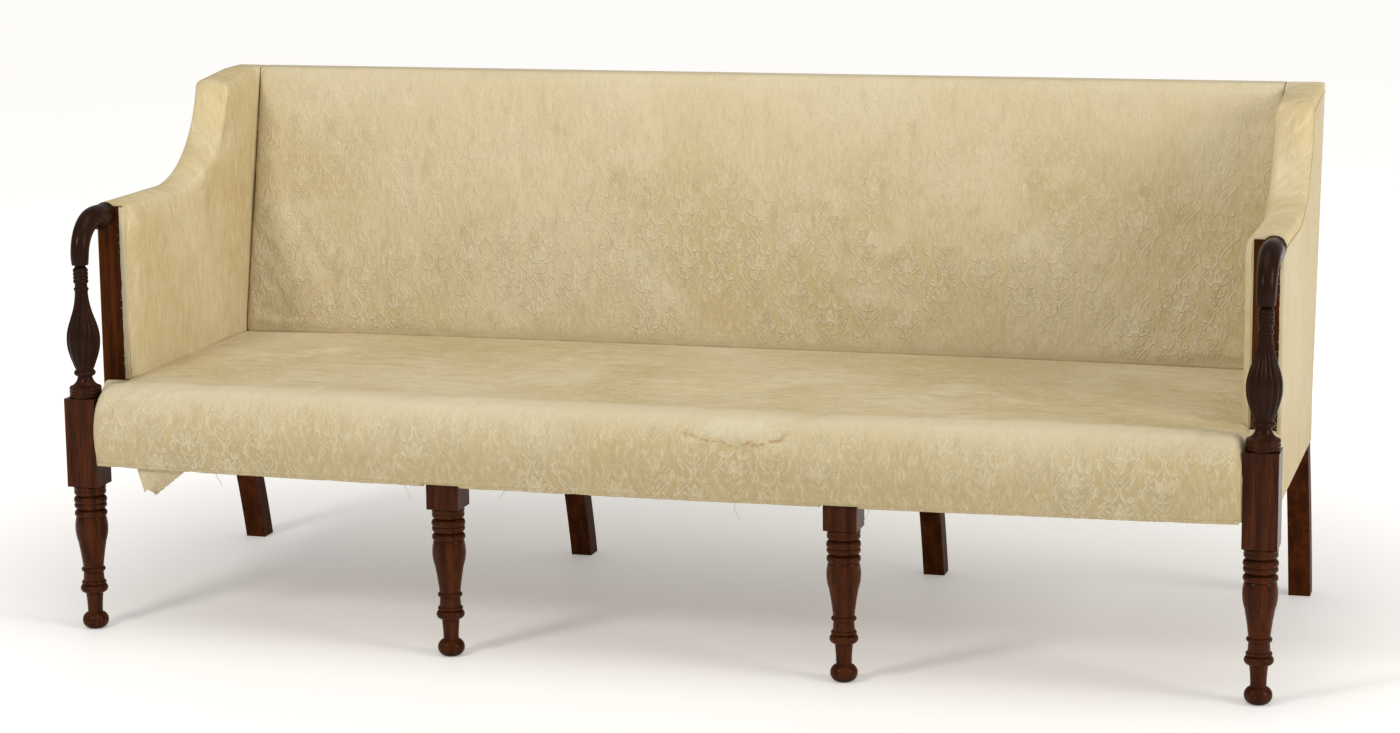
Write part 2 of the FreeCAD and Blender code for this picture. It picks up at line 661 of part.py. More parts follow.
tenon("back_upright", "crest_rail", "upright_head", ("inner_x - 12", "inner_x + 12"), CREST_TENON_Y,
      CREST_TENON_Z)
tenon("rear_post", "crest_rail", "stile_head", ("leg_in + 7", "arm_out - 7"), CREST_TENON_Y, CREST_TENON_Z)
TACK_TENON_Y = (lean("back_tack_z + tack_rail_depth / 2") + " + 7",
                lean("back_tack_z + tack_rail_depth / 2") + " + 7 + tenon_thick * 0.8")
TACK_TENON_Z = ("back_tack_z + 5", "back_tack_z + tack_rail_depth - 5")
tenon("back_tack_rail", "rear_post", "tack_outer", ("leg_in - 2", "leg_in + 12"), TACK_TENON_Y, TACK_TENON_Z)
tenon("back_tack_rail", "back_upright", "tack_inner", (f"{UPRIGHT_OUT} - 12", f"{UPRIGHT_OUT} + 2"),
      TACK_TENON_Y, TACK_TENON_Z)
tenon("back_tack_rail_middle", "back_upright", "tack_middle", (f"{UPRIGHT_IN} - 2", f"{UPRIGHT_IN} + 12"),
      TACK_TENON_Y, TACK_TENON_Z)
tenon("arm_stile", "side_seat_rail", "stile_foot", SIDE_TENON,
      ("stile_front + 8", "stile_rear - 8"), ("side_top - tenon_length", "side_top + 2"))
tenon("arm_stile", "arm_top_rail", "stile_arm", ("arm_in + 16", "arm_in + 16 + tenon_thick"),
      ("stile_rear - 16", "stile_rear - 5"), ("arm_low - 2", "arm_low + stub_length"))
tenon("arm_tack_rail", "arm_stile", "arm_tack_front", ("arm_in + 7", "arm_in + 7 + tenon_thick * 0.8"),
      ("stile_rear - 14", "stile_rear + 2"), ("arm_tack_z + 5", f"{ARM_TACK_TOP} - 5"))
tenon("arm_tack_rail", "rear_post", "arm_tack_rear", ("leg_in + 4", "leg_in + 4 + tenon_thick * 0.8"),
      (lean("arm_tack_z"), lean(ARM_TACK_TOP) + " + 12"), ("arm_tack_z + 5", f"{ARM_TACK_TOP} - 5"))
tenon("arm_top_rail", "rear_post", "arm_rear", ("leg_in + 8", "leg_in + 8 + tenon_thick"),
      (lean("wing_low"), lean("wing_low") + " + tenon_length"), ("wing_low + 8", "crest_bottom - 6"))

# Joint pegs
pegs = []


def peg(name, owner, host, start, axis, length):
    """A peg through a mortise and its tenon, flush with the outer piece."""
    for target in (owner, host):
        pieces[target].cut(rod(f"{name}_{target}_hole", "peg_radius", length, start, axis))
    bar = rod(name + "_peg", "peg_radius", length, start, axis)
    pegs.append(bar)
    pegs.append(mirrored(bar, name + "_peg_twin"))


STILE_MIDDLE = "(stile_front + stile_rear) / 2"
peg("stile_foot", "arm_stile", "side_seat_rail", ("side_in", STILE_MIDDLE, "side_top - 12"), (1, 0, 0),
    "side_rail_thick")
peg("stile_arm", "arm_stile", "arm_top_rail", ("arm_in", "stile_rear - 10.5", "arm_low + 9"), (1, 0, 0),
    "stile_width")
CREST_PEG_Z = "crest_bottom + 9"
peg("upright_crest", "back_upright", "crest_rail", ("inner_x", lean(CREST_PEG_Z) + " + 1", CREST_PEG_Z),
    (0, 1, 0), "rear_leg_depth - 2")
peg("stile_crest", "rear_post", "crest_rail", ("leg_in + rear_leg_width / 2", lean(CREST_PEG_Z) + " + 1",
                                               CREST_PEG_Z), (0, 1, 0), "rear_leg_depth - 2")

# Corner blocks and their screws
BLOCK_LOW = mm("rail_bottom + 12")
screws = []
corner_blocks = []


def screw_solids(head, direction):
    """A screw, and the bore with a wider pocket that lets its head down into the block."""
    shank = Part.makeCylinder(mm("screw_radius"), mm("screw_length"), head, direction)
    cap = Part.makeCylinder(mm("screw_head_radius"), 3, head - direction * 3, direction)
    room = mm("corner_block_leg")
    wide = mm("screw_head_radius + joint_clearance")
    pocket = Part.makeCylinder(wide, room, head - direction * room, direction)
    return shank.fuse(cap).removeSplitter(), pocket


def corner_block(corners, drives):
    base = Part.Face(Part.makePolygon([Vector(x, y, BLOCK_LOW) for x, y in corners + corners[:1]]))
    block = base.extrude(Vector(0, 0, mm("corner_block_height")))
    for (x, y), direction, rail, height in drives:
        head = Vector(x, y, BLOCK_LOW + height * mm("corner_block_height"))
        screw, pocket = screw_solids(head, Vector(*direction))
        block = block.cut(screw.fuse(pocket))
        screws.append(screw)
        hole = doc.addObject("Part::Feature", f"{rail}_screw_hole")
        hole.Shape = Part.makeCylinder(mm("screw_radius"), mm("screw_length"), head, Vector(*direction))
        hole.Placement = Placement()
        pieces[rail].cut(hole)
    corner_blocks.append(block)


reach = mm("corner_block_leg")
side_x = mm("side_in")
front_a = mm("rail_end") - reach - 16
front_b = mm("rail_end") - 16


def inner_face(x):
    return mm(bowed(str(x))) + mm("front_rail_thick") + 0.05


side_y = mm("block_rear") + 12
corner_block([(front_a, inner_face(front_a)), (front_b, inner_face(front_b)), (side_x, side_y),
              (side_x, side_y + reach)],
             [((side_x - 10, side_y + 0.5 * reach), (1, 0, 0), "side_seat_rail", 0.7),
              (((front_a + front_b) / 2, inner_face(front_b) + 10), (0, -1, 0), "front_seat_rail", 0.3)])
rear_y = mm("rear_rail_front")
leg_x = mm("leg_in") - 12
corner_block([(leg_x - reach, rear_y), (side_x, rear_y - 14 - reach), (side_x, rear_y - 14),
              (leg_x, rear_y)],
             [((side_x - 10, rear_y - 14 - 0.5 * reach), (1, 0, 0), "side_seat_rail", 0.7),
              ((leg_x - 0.5 * reach, rear_y - 10), (0, 1, 0), "rear_seat_rail", 0.3)])

# Webbing of the seat
web = mm("web_width")
thin = mm("web_thick")
rail_top = mm("rail_top")
cross_places = []
for share in (0.25, 0.75):
    cross_places.append(share * mm(UPRIGHT_IN))
for share in (0.125, 0.375, 0.625, 0.875):
    cross_places.append(mm(UPRIGHT_OUT) + share * (mm("seat_half") - mm(UPRIGHT_OUT)))
long_places = [(mm("block_rear") + mm("stile_front")) / 2]
for share in (0.1, 0.3, 0.5, 0.7, 0.9):
    long_places.append(mm("stile_rear") + share * (mm("knee_y") - mm("stile_rear")))
long_end = mm("arm_out") - 8
cross_rear = mm("rear_rail_front + web_lap")


def slab(x, y, z):
    return Part.makeBox(x[1] - x[0], y[1] - y[0], z[1] - z[0], Vector(x[0], y[0], z[0]))


cross_straps = []
for place in cross_places:
    front = mm(bowed(str(place - web / 2)) + " + front_rail_thick - web_lap")
    strap = slab((place - web / 2, place + web / 2), (front, cross_rear), (rail_top, rail_top + thin))
    cross_straps += [strap, flat_twin(strap)]
long_straps = []
for place in long_places:
    long_straps.append(slab((-long_end, long_end), (place - web / 2, place + web / 2),
                            (rail_top + thin, rail_top + 2 * thin)))

# Tacks that hold the webbing
tacks = []


def tack(place, straps, rail, up):
    """A tack through a strap or hem into a rail; its hole is taken out of both."""
    length = mm("tack_length")
    shank = Part.makeCylinder(mm("tack_radius"), length, place, Vector(0, 0, -up))
    cap = Part.makeCylinder(mm("tack_head_radius"), 0.8, place, Vector(0, 0, up))
    tacks.append(shank.fuse(cap).removeSplitter())
    for i, strap in enumerate(straps):
        if strap.BoundBox.isInside(place + Vector(0, 0, -up * 0.5)):
            straps[i] = strap.cut(shank)
    holes.setdefault(rail, []).append(shank)


holes = {}
for place in cross_places:
    for side in (-1, 1):
        for shift in (-14, 14):
            x = side * place + shift
            front = mm(bowed(str(abs(x))) + " + web_lap")
            tack(Vector(x, front, rail_top + thin), cross_straps, "front_seat_rail", 1)
            tack(Vector(x, cross_rear - 12, rail_top + thin), cross_straps, "rear_seat_rail", 1)
for place in long_places:
    for side in (-1, 1):
        for shift in (-14, 14):
            tack(Vector(side * (long_end - 12), place + shift, rail_top + 2 * thin), long_straps,
                 "side_seat_rail", 1)
webbing_tacks = tacks
tacks = []

# Front hem: the seat cover turned under the rail, and its tacks
HEM_TACKS = 5
hem_top = mm("rail_bottom - cover_gap")
hem_bays = [(mm("inner_x + block_half + 3"), mm("rail_end - 4")),
            (-mm("inner_x - block_half - 3"), mm("inner_x - block_half - 3"))]


def bowed_strip(x_low, x_high, near, far, z_low, z_high):
    """A flat strip that follows the bow of the front rail."""
    def arc(shift):
        spots = [Vector(x, mm(bowed(str(x))) + shift, z_low) for x in (x_low, (x_low + x_high) / 2, x_high)]
        return Part.Arc(*spots).toShape(), spots
    first, a = arc(near)
    second, b = arc(far)
    edges = [first, Part.makeLine(a[2], b[2]), second, Part.makeLine(b[0], a[0])]
    return Part.Face(Part.Wire(Part.__sortEdges__(edges))).extrude(Vector(0, 0, z_high - z_low))


hems = []
for low_x, high_x in hem_bays + [(-hem_bays[0][1], -hem_bays[0][0])]:
    hems.append(bowed_strip(low_x, high_x, -mm("lip_depth"), mm("hem_width"),
                            hem_top - mm("cover_thick"), hem_top))
for low_x, high_x in hem_bays + [(-hem_bays[0][1], -hem_bays[0][0])]:
    for step in range(HEM_TACKS):
        x = low_x + (step + 0.5) * (high_x - low_x) / HEM_TACKS
        tack(Vector(x, mm(bowed(str(x))) + 11, hem_top - mm("cover_thick")), hems, "front_seat_rail", -1)
hem_tacks = tacks

for rail, shanks in holes.items():
    hole = doc.addObject("Part::Feature", rail + "_tack_holes")
    kept = [s for s in shanks if not pieces[rail].side or s.CenterOfMass.x > 0]
    hole.Shape = Part.makeCompound(kept)
    hole.Placement = Placement()
    pieces[rail].cuts.append(hole)

# Seat: hessian, stuffing and cover
seat_hessian = new_body("seat_hessian")
pad(seat_hessian, "seat_hessian_sheet", "XY_Plane",
    [("-seat_half", "block_front + 14", "0", "block_front - rail_bow + 14"),
     ("seat_half", "block_front + 14"), ("seat_half", "seat_back_y"), ("-seat_half", "seat_back_y")],
    "rail_top + 2 * web_thick", "hessian_thick")
Piece("seat_hessian", seat_hessian)

# Stations across the seat: share of its half width, fall of its top, loss of its front roll
SEAT_STATIONS = [(1, 14, 7), (0.985, 4, 2), (0.95, 0, 0), (0.65, 0, 0), (0.3, 0, 0)]


def seat_section(x, fall, shrink, inset, under):
    """Side section of the seat: rolled front edge, crowned top."""
    face = mm(bowed(str(x)))
    low = mm("rail_bottom") if not under else mm("rail_bottom") - 6
    floor = mm("seat_floor") if not under else mm("seat_floor") - 12
    behind = -mm("cover_gap") if not under else 1
    rear = mm("seat_back_y") if not under else mm("seat_back_y") + 6
    edge = mm("rail_top + seat_rise") - fall - inset
    swell = mm("seat_crown") * (1.1 - (abs(x) / mm("seat_half")) ** 4) / 1.1
    nose = face - mm("nose_depth") + shrink + inset
    nose_z = mm("rail_bottom") + 0.72 * mm("rail_height")
    lip = face - mm("lip_depth") + inset
    roll = face + 48
    rise = edge + 0.3 * swell - nose_z
    spots = {
        "heel": Vector(x, rear, floor), "sill": Vector(x, face + behind, floor),
        "toe": Vector(x, face + behind, low), "lip": Vector(x, lip, low),
        "nose": Vector(x, nose, nose_z), "roll": Vector(x, roll, edge + 0.3 * swell),
        "rear": Vector(x, rear, edge),
    }
    cheek = Vector(x, nose + 0.22 * (lip - nose), low + 0.42 * (nose_z - low))
    brow = Vector(x, nose + 0.3 * (roll - nose), nose_z + 0.7 * rise)
    crown = Vector(x, (roll + rear) / 2, edge + swell)
    return Part.Wire([
        Part.makeLine(spots["heel"], spots["sill"]), Part.makeLine(spots["sill"], spots["toe"]),
        Part.makeLine(spots["toe"], spots["lip"]), Part.Arc(spots["lip"], cheek, spots["nose"]).toShape(),
        Part.Arc(spots["nose"], brow, spots["roll"]).toShape(),
        Part.Arc(spots["roll"], crown, spots["rear"]).toShape(), Part.makeLine(spots["rear"], spots["heel"]),
    ])


def seat_form(inset, under):
    half = mm("seat_half")
    places = [(-share * half, fall, shrink) for share, fall, shrink in SEAT_STATIONS]
    places += [(0, 0, 0)] + [(-x, fall, shrink) for x, fall, shrink in reversed(places)]
    sections = []
    for i, (x, fall, shrink) in enumerate(places):
        at_end = inset if i == 0 else -inset if i == len(places) - 1 else 0
        sections.append(seat_section(x + at_end, fall, shrink, inset, under))
    return Part.makeLoft(sections, True, True)


cover = mm("cover_thick")
skin = mm("cover_thick + cover_gap")
rail_room = bowed_strip(-mm("rail_end"), mm("rail_end"), -mm("cover_gap"), mm("front_rail_thick"),
                        mm("rail_bottom") - 10, mm("seat_floor"))
shape_node("seat_stuffing", seat_form(skin, False).cut(rail_room))
shape_node("seat_cover", seat_form(0, False).cut(seat_form(cover, True)))

# Back: webbing, hessian, stuffing, covers


def lean_at(height):
    return mm(lean(str(height)))


def leaning_slab(x, front, rear, z_low, z_high):
    """A slab parallel to the back frame, at distances in front of its front plane."""
    corners = [(lean_at(z_low) - front, z_low), (lean_at(z_high) - front, z_high),
               (lean_at(z_high) - rear, z_high), (lean_at(z_low) - rear, z_low)]
    spots = [Vector(x[0], y, z) for y, z in corners + corners[:1]]
    return Part.Face(Part.makePolygon(spots)).extrude(Vector(x[1] - x[0], 0, 0))


crest_top = mm("crest_top")
web_low = mm("back_tack_z + 2")
web_high = mm("crest_bottom") + 0.7 * mm("crest_height")
upright_straps = []
for place in cross_places:
    strap = leaning_slab((place - web / 2, place + web / 2), thin, 0, web_low, web_high)
    upright_straps += [strap, flat_twin(strap)]
level_straps = []
level_room = mm("wing_low") - mm("back_tack_z + tack_rail_depth")
for share in (0.2, 0.5, 0.8):
    z = mm("back_tack_z + tack_rail_depth") + share * level_room
    level_straps.append(leaning_slab((-long_end, long_end), 2 * thin, thin, z - web / 2, z + web / 2))
back_hessian = leaning_slab((-mm("back_half") + 4, mm("back_half") - 4), mm("back_layers"), 2 * thin,
                            web_low, web_high)

BACK_STATIONS = [(1, 8), (0.985, 2), (0.94, 0), (0.5, 0)]


def back_section(x, fall, inset, under):
    """Side section of the back: slight crown, thinner at the top."""
    low = mm("back_low") + inset
    deep = low - 8 if under else low
    top = crest_top + skin - inset
    behind = mm("back_layers") if not under else mm("back_layers") - 6
    head = mm("back_layers") + 0.35 * mm("back_pad_thick") + skin - 0.35 * fall - inset
    foot = mm("back_layers + back_pad_thick") + skin - fall - inset
    swell = mm("back_crown") * (1.1 - (abs(x) / mm("back_half")) ** 4) / 1.1
    middle_z = (low + top) / 2
    front_top = Vector(x, lean_at(top - 5) - head, top - 5)
    front_low = Vector(x, lean_at(low) - foot, low)
    bulge = Vector(x, lean_at(middle_z) - (head + foot) / 2 - swell, middle_z)
    rear_low = Vector(x, lean_at(deep) - behind, deep)
    rear_top = Vector(x, lean_at(top) - mm("back_layers"), top)
    edges = [Part.makeLine(rear_top, front_top), Part.Arc(front_top, bulge, front_low).toShape()]
    if not under:
        return Part.Wire(edges + [Part.makeLine(front_low, rear_low), Part.makeLine(rear_low, rear_top)])
    hem = Vector(x, front_low.y, deep)
    nape = Vector(x, lean_at(top) - behind, top)
    return Part.Wire(edges + [Part.makeLine(front_low, hem), Part.makeLine(hem, rear_low),
                              Part.makeLine(rear_low, nape), Part.makeLine(nape, rear_top)])


def back_form(inset, under):
    half = mm("back_half")
    places = [(-share * half, fall) for share, fall in BACK_STATIONS]
    places += [(0, 0)] + [(-x, fall) for x, fall in reversed(places)]
    sections = []
    for i, (x, fall) in enumerate(places):
        at_end = inset if i == 0 else -inset if i == len(places) - 1 else 0
        sections.append(back_section(x + at_end, fall, inset, under))
    return Part.makeLoft(sections, True, True)


gap = mm("cover_gap")
top_sheet = slab((-mm("back_half"), mm("back_half")),
                 (lean_at(crest_top) - mm("back_layers") - 0.5, lean_at(crest_top) + mm("rear_leg_depth")),
                 (crest_top + gap, crest_top + skin))
shape_node("back_stuffing", back_form(skin, False))
shape_node("back_cover", back_form(0, False).cut(back_form(cover, True)).fuse(top_sheet).removeSplitter())

rear_line = [(mm("knee_rear"), mm("rail_bottom")), (mm("knee_rear"), mm("knee_high")),
             (lean_at(crest_top) + mm("rear_leg_depth"), crest_top)]
rear_out = [(y + skin, z) for y, z in reversed(rear_line)]
rear_in = [(y + gap, z) for y, z in rear_line]
spots = [Vector(-mm("arm_out"), y, z) for y, z in rear_in + rear_out + rear_in[:1]]
shape_node("outside_back_cover", Part.Face(Part.makePolygon(spots)).extrude(Vector(2 * mm("arm_out"), 0, 0)))

# Arms: hessian, stuffing, inside and outside covers


def arm_top_edges(x, grow, rear_shift, front):
    """The arm's top outline from the stile to the back, moved out by a distance."""
    centre_y = mm("sweep_y")
    centre_z = mm("sweep_centre")
    radius = mm("sweep_radius") - grow
    end = Vector(0, mm("sweep_run"), -(mm("sweep_radius") - mm("sweep_rise"))).normalize()
    middle = (Vector(0, 0, -1) + end).normalize()
    centre = Vector(x, centre_y, centre_z)
    start = Vector(x, front, mm("arm_top") + grow)
    flat_end = Vector(x, centre_y, mm("arm_top") + grow)
    sweep_end = centre + end * radius
    nose = Vector(x, mm("sweep_y + sweep_run") + 5 - 0.8 * grow, crest_top - mm("wing_drop") + grow)
    ridge = Vector(x, lean_at(crest_top), crest_top + grow)
    sweep = Part.Arc(flat_end, centre + middle * radius, sweep_end).toShape()
    edges = [Part.makeLine(start, flat_end), sweep, Part.makeLine(sweep_end, nose)]
    if rear_shift > 0:
        rear = ridge + Vector(0, rear_shift, 0)
        return edges + [Part.makeLine(nose, ridge), Part.makeLine(ridge, rear)], start, rear
    rear = ridge + (ridge - nose) * (rear_shift / (ridge.y - nose.y))
    return edges + [Part.makeLine(nose, rear)], start, rear


def closed(edges, first, last, others):
    """The edges closed by straight lines through other corners."""
    chain = [last] + others + [first]
    return Part.Wire(edges + [Part.makeLine(a, b) for a, b in zip(chain, chain[1:])])


def arm_section(x, grow, inset, low):
    """Side outline of the arm's inner padding."""
    front = mm("stile_front") + inset
    back = -mm("back_layers") - 1 - inset
    edges, start, rear = arm_top_edges(x, grow, back, front)
    corners = [Vector(x, lean_at(low) + back, low), Vector(x, front, low)]
    return closed(edges, start, rear, corners)


pad_face = mm("arm_in - hessian_thick")
pad_low = mm("back_low") + 2
hessian_out = Part.Face(arm_section(pad_face, -8, 6, mm("arm_tack_z + 4")))
arm_hessian = hessian_out.extrude(Vector(mm("hessian_thick"), 0, 0))


def arm_pad(reach, grow, low):
    """Padding that rounds in toward its inner face."""
    inner = pad_face - reach
    sections = [arm_section(pad_face, grow, 0, low), arm_section(inner + 5, grow - 1, 0.6, low),
                arm_section(inner + 1.4, grow - 4, 2.4, low), arm_section(inner, grow - 10, 7, low)]
    return Part.makeLoft(sections, True, True)


stuffing = mm("arm_pad_thick")
arm_stuffing = arm_pad(stuffing, 0, pad_low)
shell_out = arm_pad(stuffing + skin, skin, pad_low - 1)
shell_in = arm_pad(stuffing + gap, gap, pad_low - 9)
inner_face_cover = shell_out.cut(shell_in)


def top_band():
    """The cover over the top of the arm, from its inner edge to the outside seam."""
    inner_x = pad_face - 0.2
    lower, low_start, low_rear = arm_top_edges(inner_x, gap, mm("rear_leg_depth"), mm("stile_front"))
    upper, high_start, high_rear = arm_top_edges(inner_x, skin, mm("rear_leg_depth"), mm("stile_front"))
    wire = Part.Wire(Part.__sortEdges__(lower + upper + [Part.makeLine(low_start, high_start),
                                                         Part.makeLine(low_rear, high_rear)]))
    band = Part.Face(wire).extrude(Vector(mm("arm_out + cover_gap + cover_thick") - inner_x, 0, 0))
    return band


inside_cover = inner_face_cover.fuse(top_band()).removeSplitter()


def outside_panel():
    x = mm("arm_out") + gap
    edges, start, rear = arm_top_edges(x, 0, mm("rear_leg_depth"), mm("stile_front") + 1)
    low = mm("rail_bottom")
    corners = [Vector(x, mm("knee_rear"), mm("knee_high")), Vector(x, mm("knee_rear"), low),
               Vector(x, mm("block_rear") + 1, low), Vector(x, mm("block_rear") + 1, mm("side_top")),
               Vector(x, mm("stile_front") + 1, mm("side_top"))]
    return Part.Face(closed(edges, start, rear, corners)).extrude(Vector(cover, 0, 0))


outside_cover = outside_panel()
for label, shape in (("arm_hessian", arm_hessian), ("arm_stuffing", arm_stuffing),
                     ("inside_arm_cover", inside_cover), ("outside_arm_cover", outside_cover)):
    shape_node(label + "_right", shape)
    shape_node(label + "_left", flat_twin(shape))

# Loose flap of cover under the front, at the sitter's right
flap_x = -mm("rail_end - flap_inset")
flap_top = hem_top - cover - gap


def flap_section(share, thick):
    """One level of the hanging flap: it narrows and folds as it falls."""
    z = flap_top - share * mm("flap_drop")
    wide = mm("flap_width") * (1 - 0.82 * share)
    left = flap_x + 0.16 * mm("flap_width") * share
    fold = 5 * share
    line = []
    for along, out in ((0, 0), (0.25, -fold), (0.5, 0), (0.75, fold), (1, 0)):
        x = left + along * wide
        line.append((x, mm(bowed(str(x))) + 4 + out))
    near = [Vector(x, y, z) for x, y in line]
    far = [Vector(x, y + thick, z) for x, y in reversed(line)]
    return Part.makePolygon(near + far + near[:1])


flap = Part.makeLoft([flap_section(share, 1.2) for share in (0, 0.35, 0.7, 1)], True, True)
shape_node("loose_cover_flap", flap)

# Groups of like pieces
for label, solids in (("corner_blocks", corner_blocks), ("corner_block_screws", screws)):
    shape_node(label, Part.makeCompound(solids + [flat_twin(solid) for solid in solids]))
for label, solids in (("seat_webbing_cross", cross_straps), ("seat_webbing_long", long_straps),
                      ("webbing_tacks", webbing_tacks), ("front_hem", hems), ("hem_tacks", hem_tacks),
                      ("back_webbing_upright", upright_straps), ("back_webbing_level", level_straps)):
    shape_node(label, Part.makeCompound(solids))
shape_node("back_hessian", back_hessian)
peg_group = doc.addObject("Part::Compound", "joint_peg_group")
peg_group.Links = pegs
nodes.append(("joint_pegs", peg_group))

# Finish every piece, check it and write it
for piece in list(pieces.values()):
    piece.finish()
for label, node in nodes:
    node.Label = label
doc.recompute()

faults = []
for item in doc.Objects:
    if "Invalid" in item.State or "Error" in item.State:
        faults.append(f"{item.Label}: {item.State}")
for label, node in nodes:
    if node.Shape.isNull() or not node.Shape.isValid() or not node.Shape.Solids:
        faults.append(f"{label}: shape not valid")
if faults:
    raise RuntimeError("; ".join(faults))

os.makedirs("parts", exist_ok=True)
for label, node in nodes:
    node.Shape.exportStep(f"parts/{label}.step")
    print(label, len(node.Shape.Solids), round(node.Shape.Volume / 1000, 1))
print(len(nodes), "nodes")
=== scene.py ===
# %% [markdown]
# # A sofa with turned legs, reeded arm supports and swept arms
# The joinery comes from the frame: every rail, leg and peg is already in place and is only given its
# finish here. The cloth, stuffing and webbing are soft, so they are made again in this script, each in
# the room that its simple solid holds in the frame.

# %% Load the frame
import json
import math

import bmesh
import bpy
import numpy as np
from mathutils import Matrix, Vector, noise
from mathutils.geometry import tessellate_polygon


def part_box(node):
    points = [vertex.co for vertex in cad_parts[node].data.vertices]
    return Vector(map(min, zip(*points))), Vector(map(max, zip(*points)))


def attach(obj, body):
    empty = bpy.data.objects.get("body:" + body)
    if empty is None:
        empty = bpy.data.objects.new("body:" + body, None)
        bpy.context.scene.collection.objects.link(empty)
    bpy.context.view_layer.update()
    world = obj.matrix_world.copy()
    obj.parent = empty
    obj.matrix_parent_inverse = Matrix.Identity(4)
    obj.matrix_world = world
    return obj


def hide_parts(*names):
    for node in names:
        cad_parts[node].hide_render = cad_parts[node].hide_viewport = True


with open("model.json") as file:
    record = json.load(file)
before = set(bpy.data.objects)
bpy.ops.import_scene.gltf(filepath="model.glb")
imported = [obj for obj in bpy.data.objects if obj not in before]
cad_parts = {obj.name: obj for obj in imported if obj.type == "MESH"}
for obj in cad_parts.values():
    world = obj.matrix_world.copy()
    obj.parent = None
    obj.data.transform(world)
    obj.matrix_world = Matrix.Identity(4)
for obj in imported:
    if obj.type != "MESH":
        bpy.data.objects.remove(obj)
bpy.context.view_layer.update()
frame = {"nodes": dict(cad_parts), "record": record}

scene = bpy.context.scene
nodes = frame["nodes"]

# %% [markdown]
# ## Places
# The upholsterer measures the bare frame before cutting any cloth. The measures could be typed in, but then
# the cloth would not follow a frame of another size. The boxes of a few pieces give the rails, the stiles,
# the lean of the back and the bow of the front rail, and all the cloth follows them.

# %% Measure the bare frame
COVER = 0.0015          # thickness of the cover
GAP = 0.0003            # air between the cover and what it covers
BLOCK = 0.054           # side of the square block above a front leg
LIP = 0.005             # cover in front of the rail at its lower edge
STILE_DEPTH = 0.038     # depth of the back's uprights
ARM_RAIL = 0.042        # depth of the arm's top rail at its front


def span(node):
    low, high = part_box(node)
    return np.array(low, float), np.array(high, float)


post_low, post_high = span("front_post_right")
hem_low, hem_high = span("front_hem")
seat_low, seat_high = span("seat_cover")
stile_low, stile_high = span("arm_stile_right")
crest_low, crest_high = span("crest_rail")
back_low, back_high = span("back_cover")
hessian_low, hessian_high = span("seat_hessian")
inside_low = span("inside_arm_cover_right")[0]
outside_low = span("outside_arm_cover_right")[0]

post_x, post_y = (post_low + post_high)[:2] / 2
rail_end = post_x - BLOCK / 2
rail_bottom = hem_high[2] + GAP
rail_mid = hem_low[1] + LIP
rail_bow = post_y - BLOCK / 2 - rail_mid
rail_radius = (rail_end ** 2 + rail_bow ** 2) / (2 * rail_bow)
crest_top = crest_high[2]
rake = (crest_high[1] - STILE_DEPTH - crest_low[1]) / (crest_top - crest_low[2])
arm_in, arm_out = stile_low[0], stile_high[0]
stile_front = stile_low[1]
arm_top = span("arm_top_rail_right")[0][2] + ARM_RAIL
seat_half, seat_rear = seat_high[0], seat_high[1]
seat_floor = hessian_high[2]
back_half = back_high[0]
knee_rear = span("outside_back_cover")[0][1] - GAP


def rail_front(x):
    """Front face of the bowed front rail."""
    return rail_mid + rail_radius - np.sqrt(rail_radius ** 2 - np.asarray(x) ** 2)


def lean(z):
    """Front plane of the back's frame."""
    return crest_low[1] + (z - crest_low[2]) * rake


print("front rail bows", round(1000 * rail_bow), "mm; the back leans", round(rake, 3))

# %% [markdown]
# ## Camera
# A long lens stands to the sitter's left and a little above the arms, which keeps the legs nearly upright
# in the picture. It could be aimed by eye in the viewport; a place and three angles are surer, since they
# come from lining up the corners of the frame.

# %% Set the camera
STAND = (1.485, -5.269, 1.444)
TURN, TILT, ROLL = (math.radians(angle) for angle in (15.732, 10.529, -0.609))
LENS, FILM = 85.62, 36  # millimetres
camera_data = bpy.data.cameras.new("camera")
camera_data.lens = LENS
camera_data.sensor_width = FILM
camera_data.sensor_fit = "HORIZONTAL"
camera = bpy.data.objects.new("camera", camera_data)
scene.collection.objects.link(camera)
camera.matrix_world = (Matrix.Translation(STAND) @ Matrix.Rotation(TURN, 4, "Z")
                       @ Matrix.Rotation(math.pi / 2 - TILT, 4, "X") @ Matrix.Rotation(ROLL, 4, "Z"))
scene.camera = camera
print("camera", round(math.hypot(*STAND), 2), "m away, with a lens of", LENS, "mm")

# %% [markdown]
# ## Writing finishes
# A finish is a tree of nodes: noise and waves give the grain or the weave, and drive colour, roughness and
# bump together. Such a tree could be wired by hand in the editor. A small writer, with one method for each
# kind of node, lets each finish below read as a list of steps.

# %% Write the finish helper


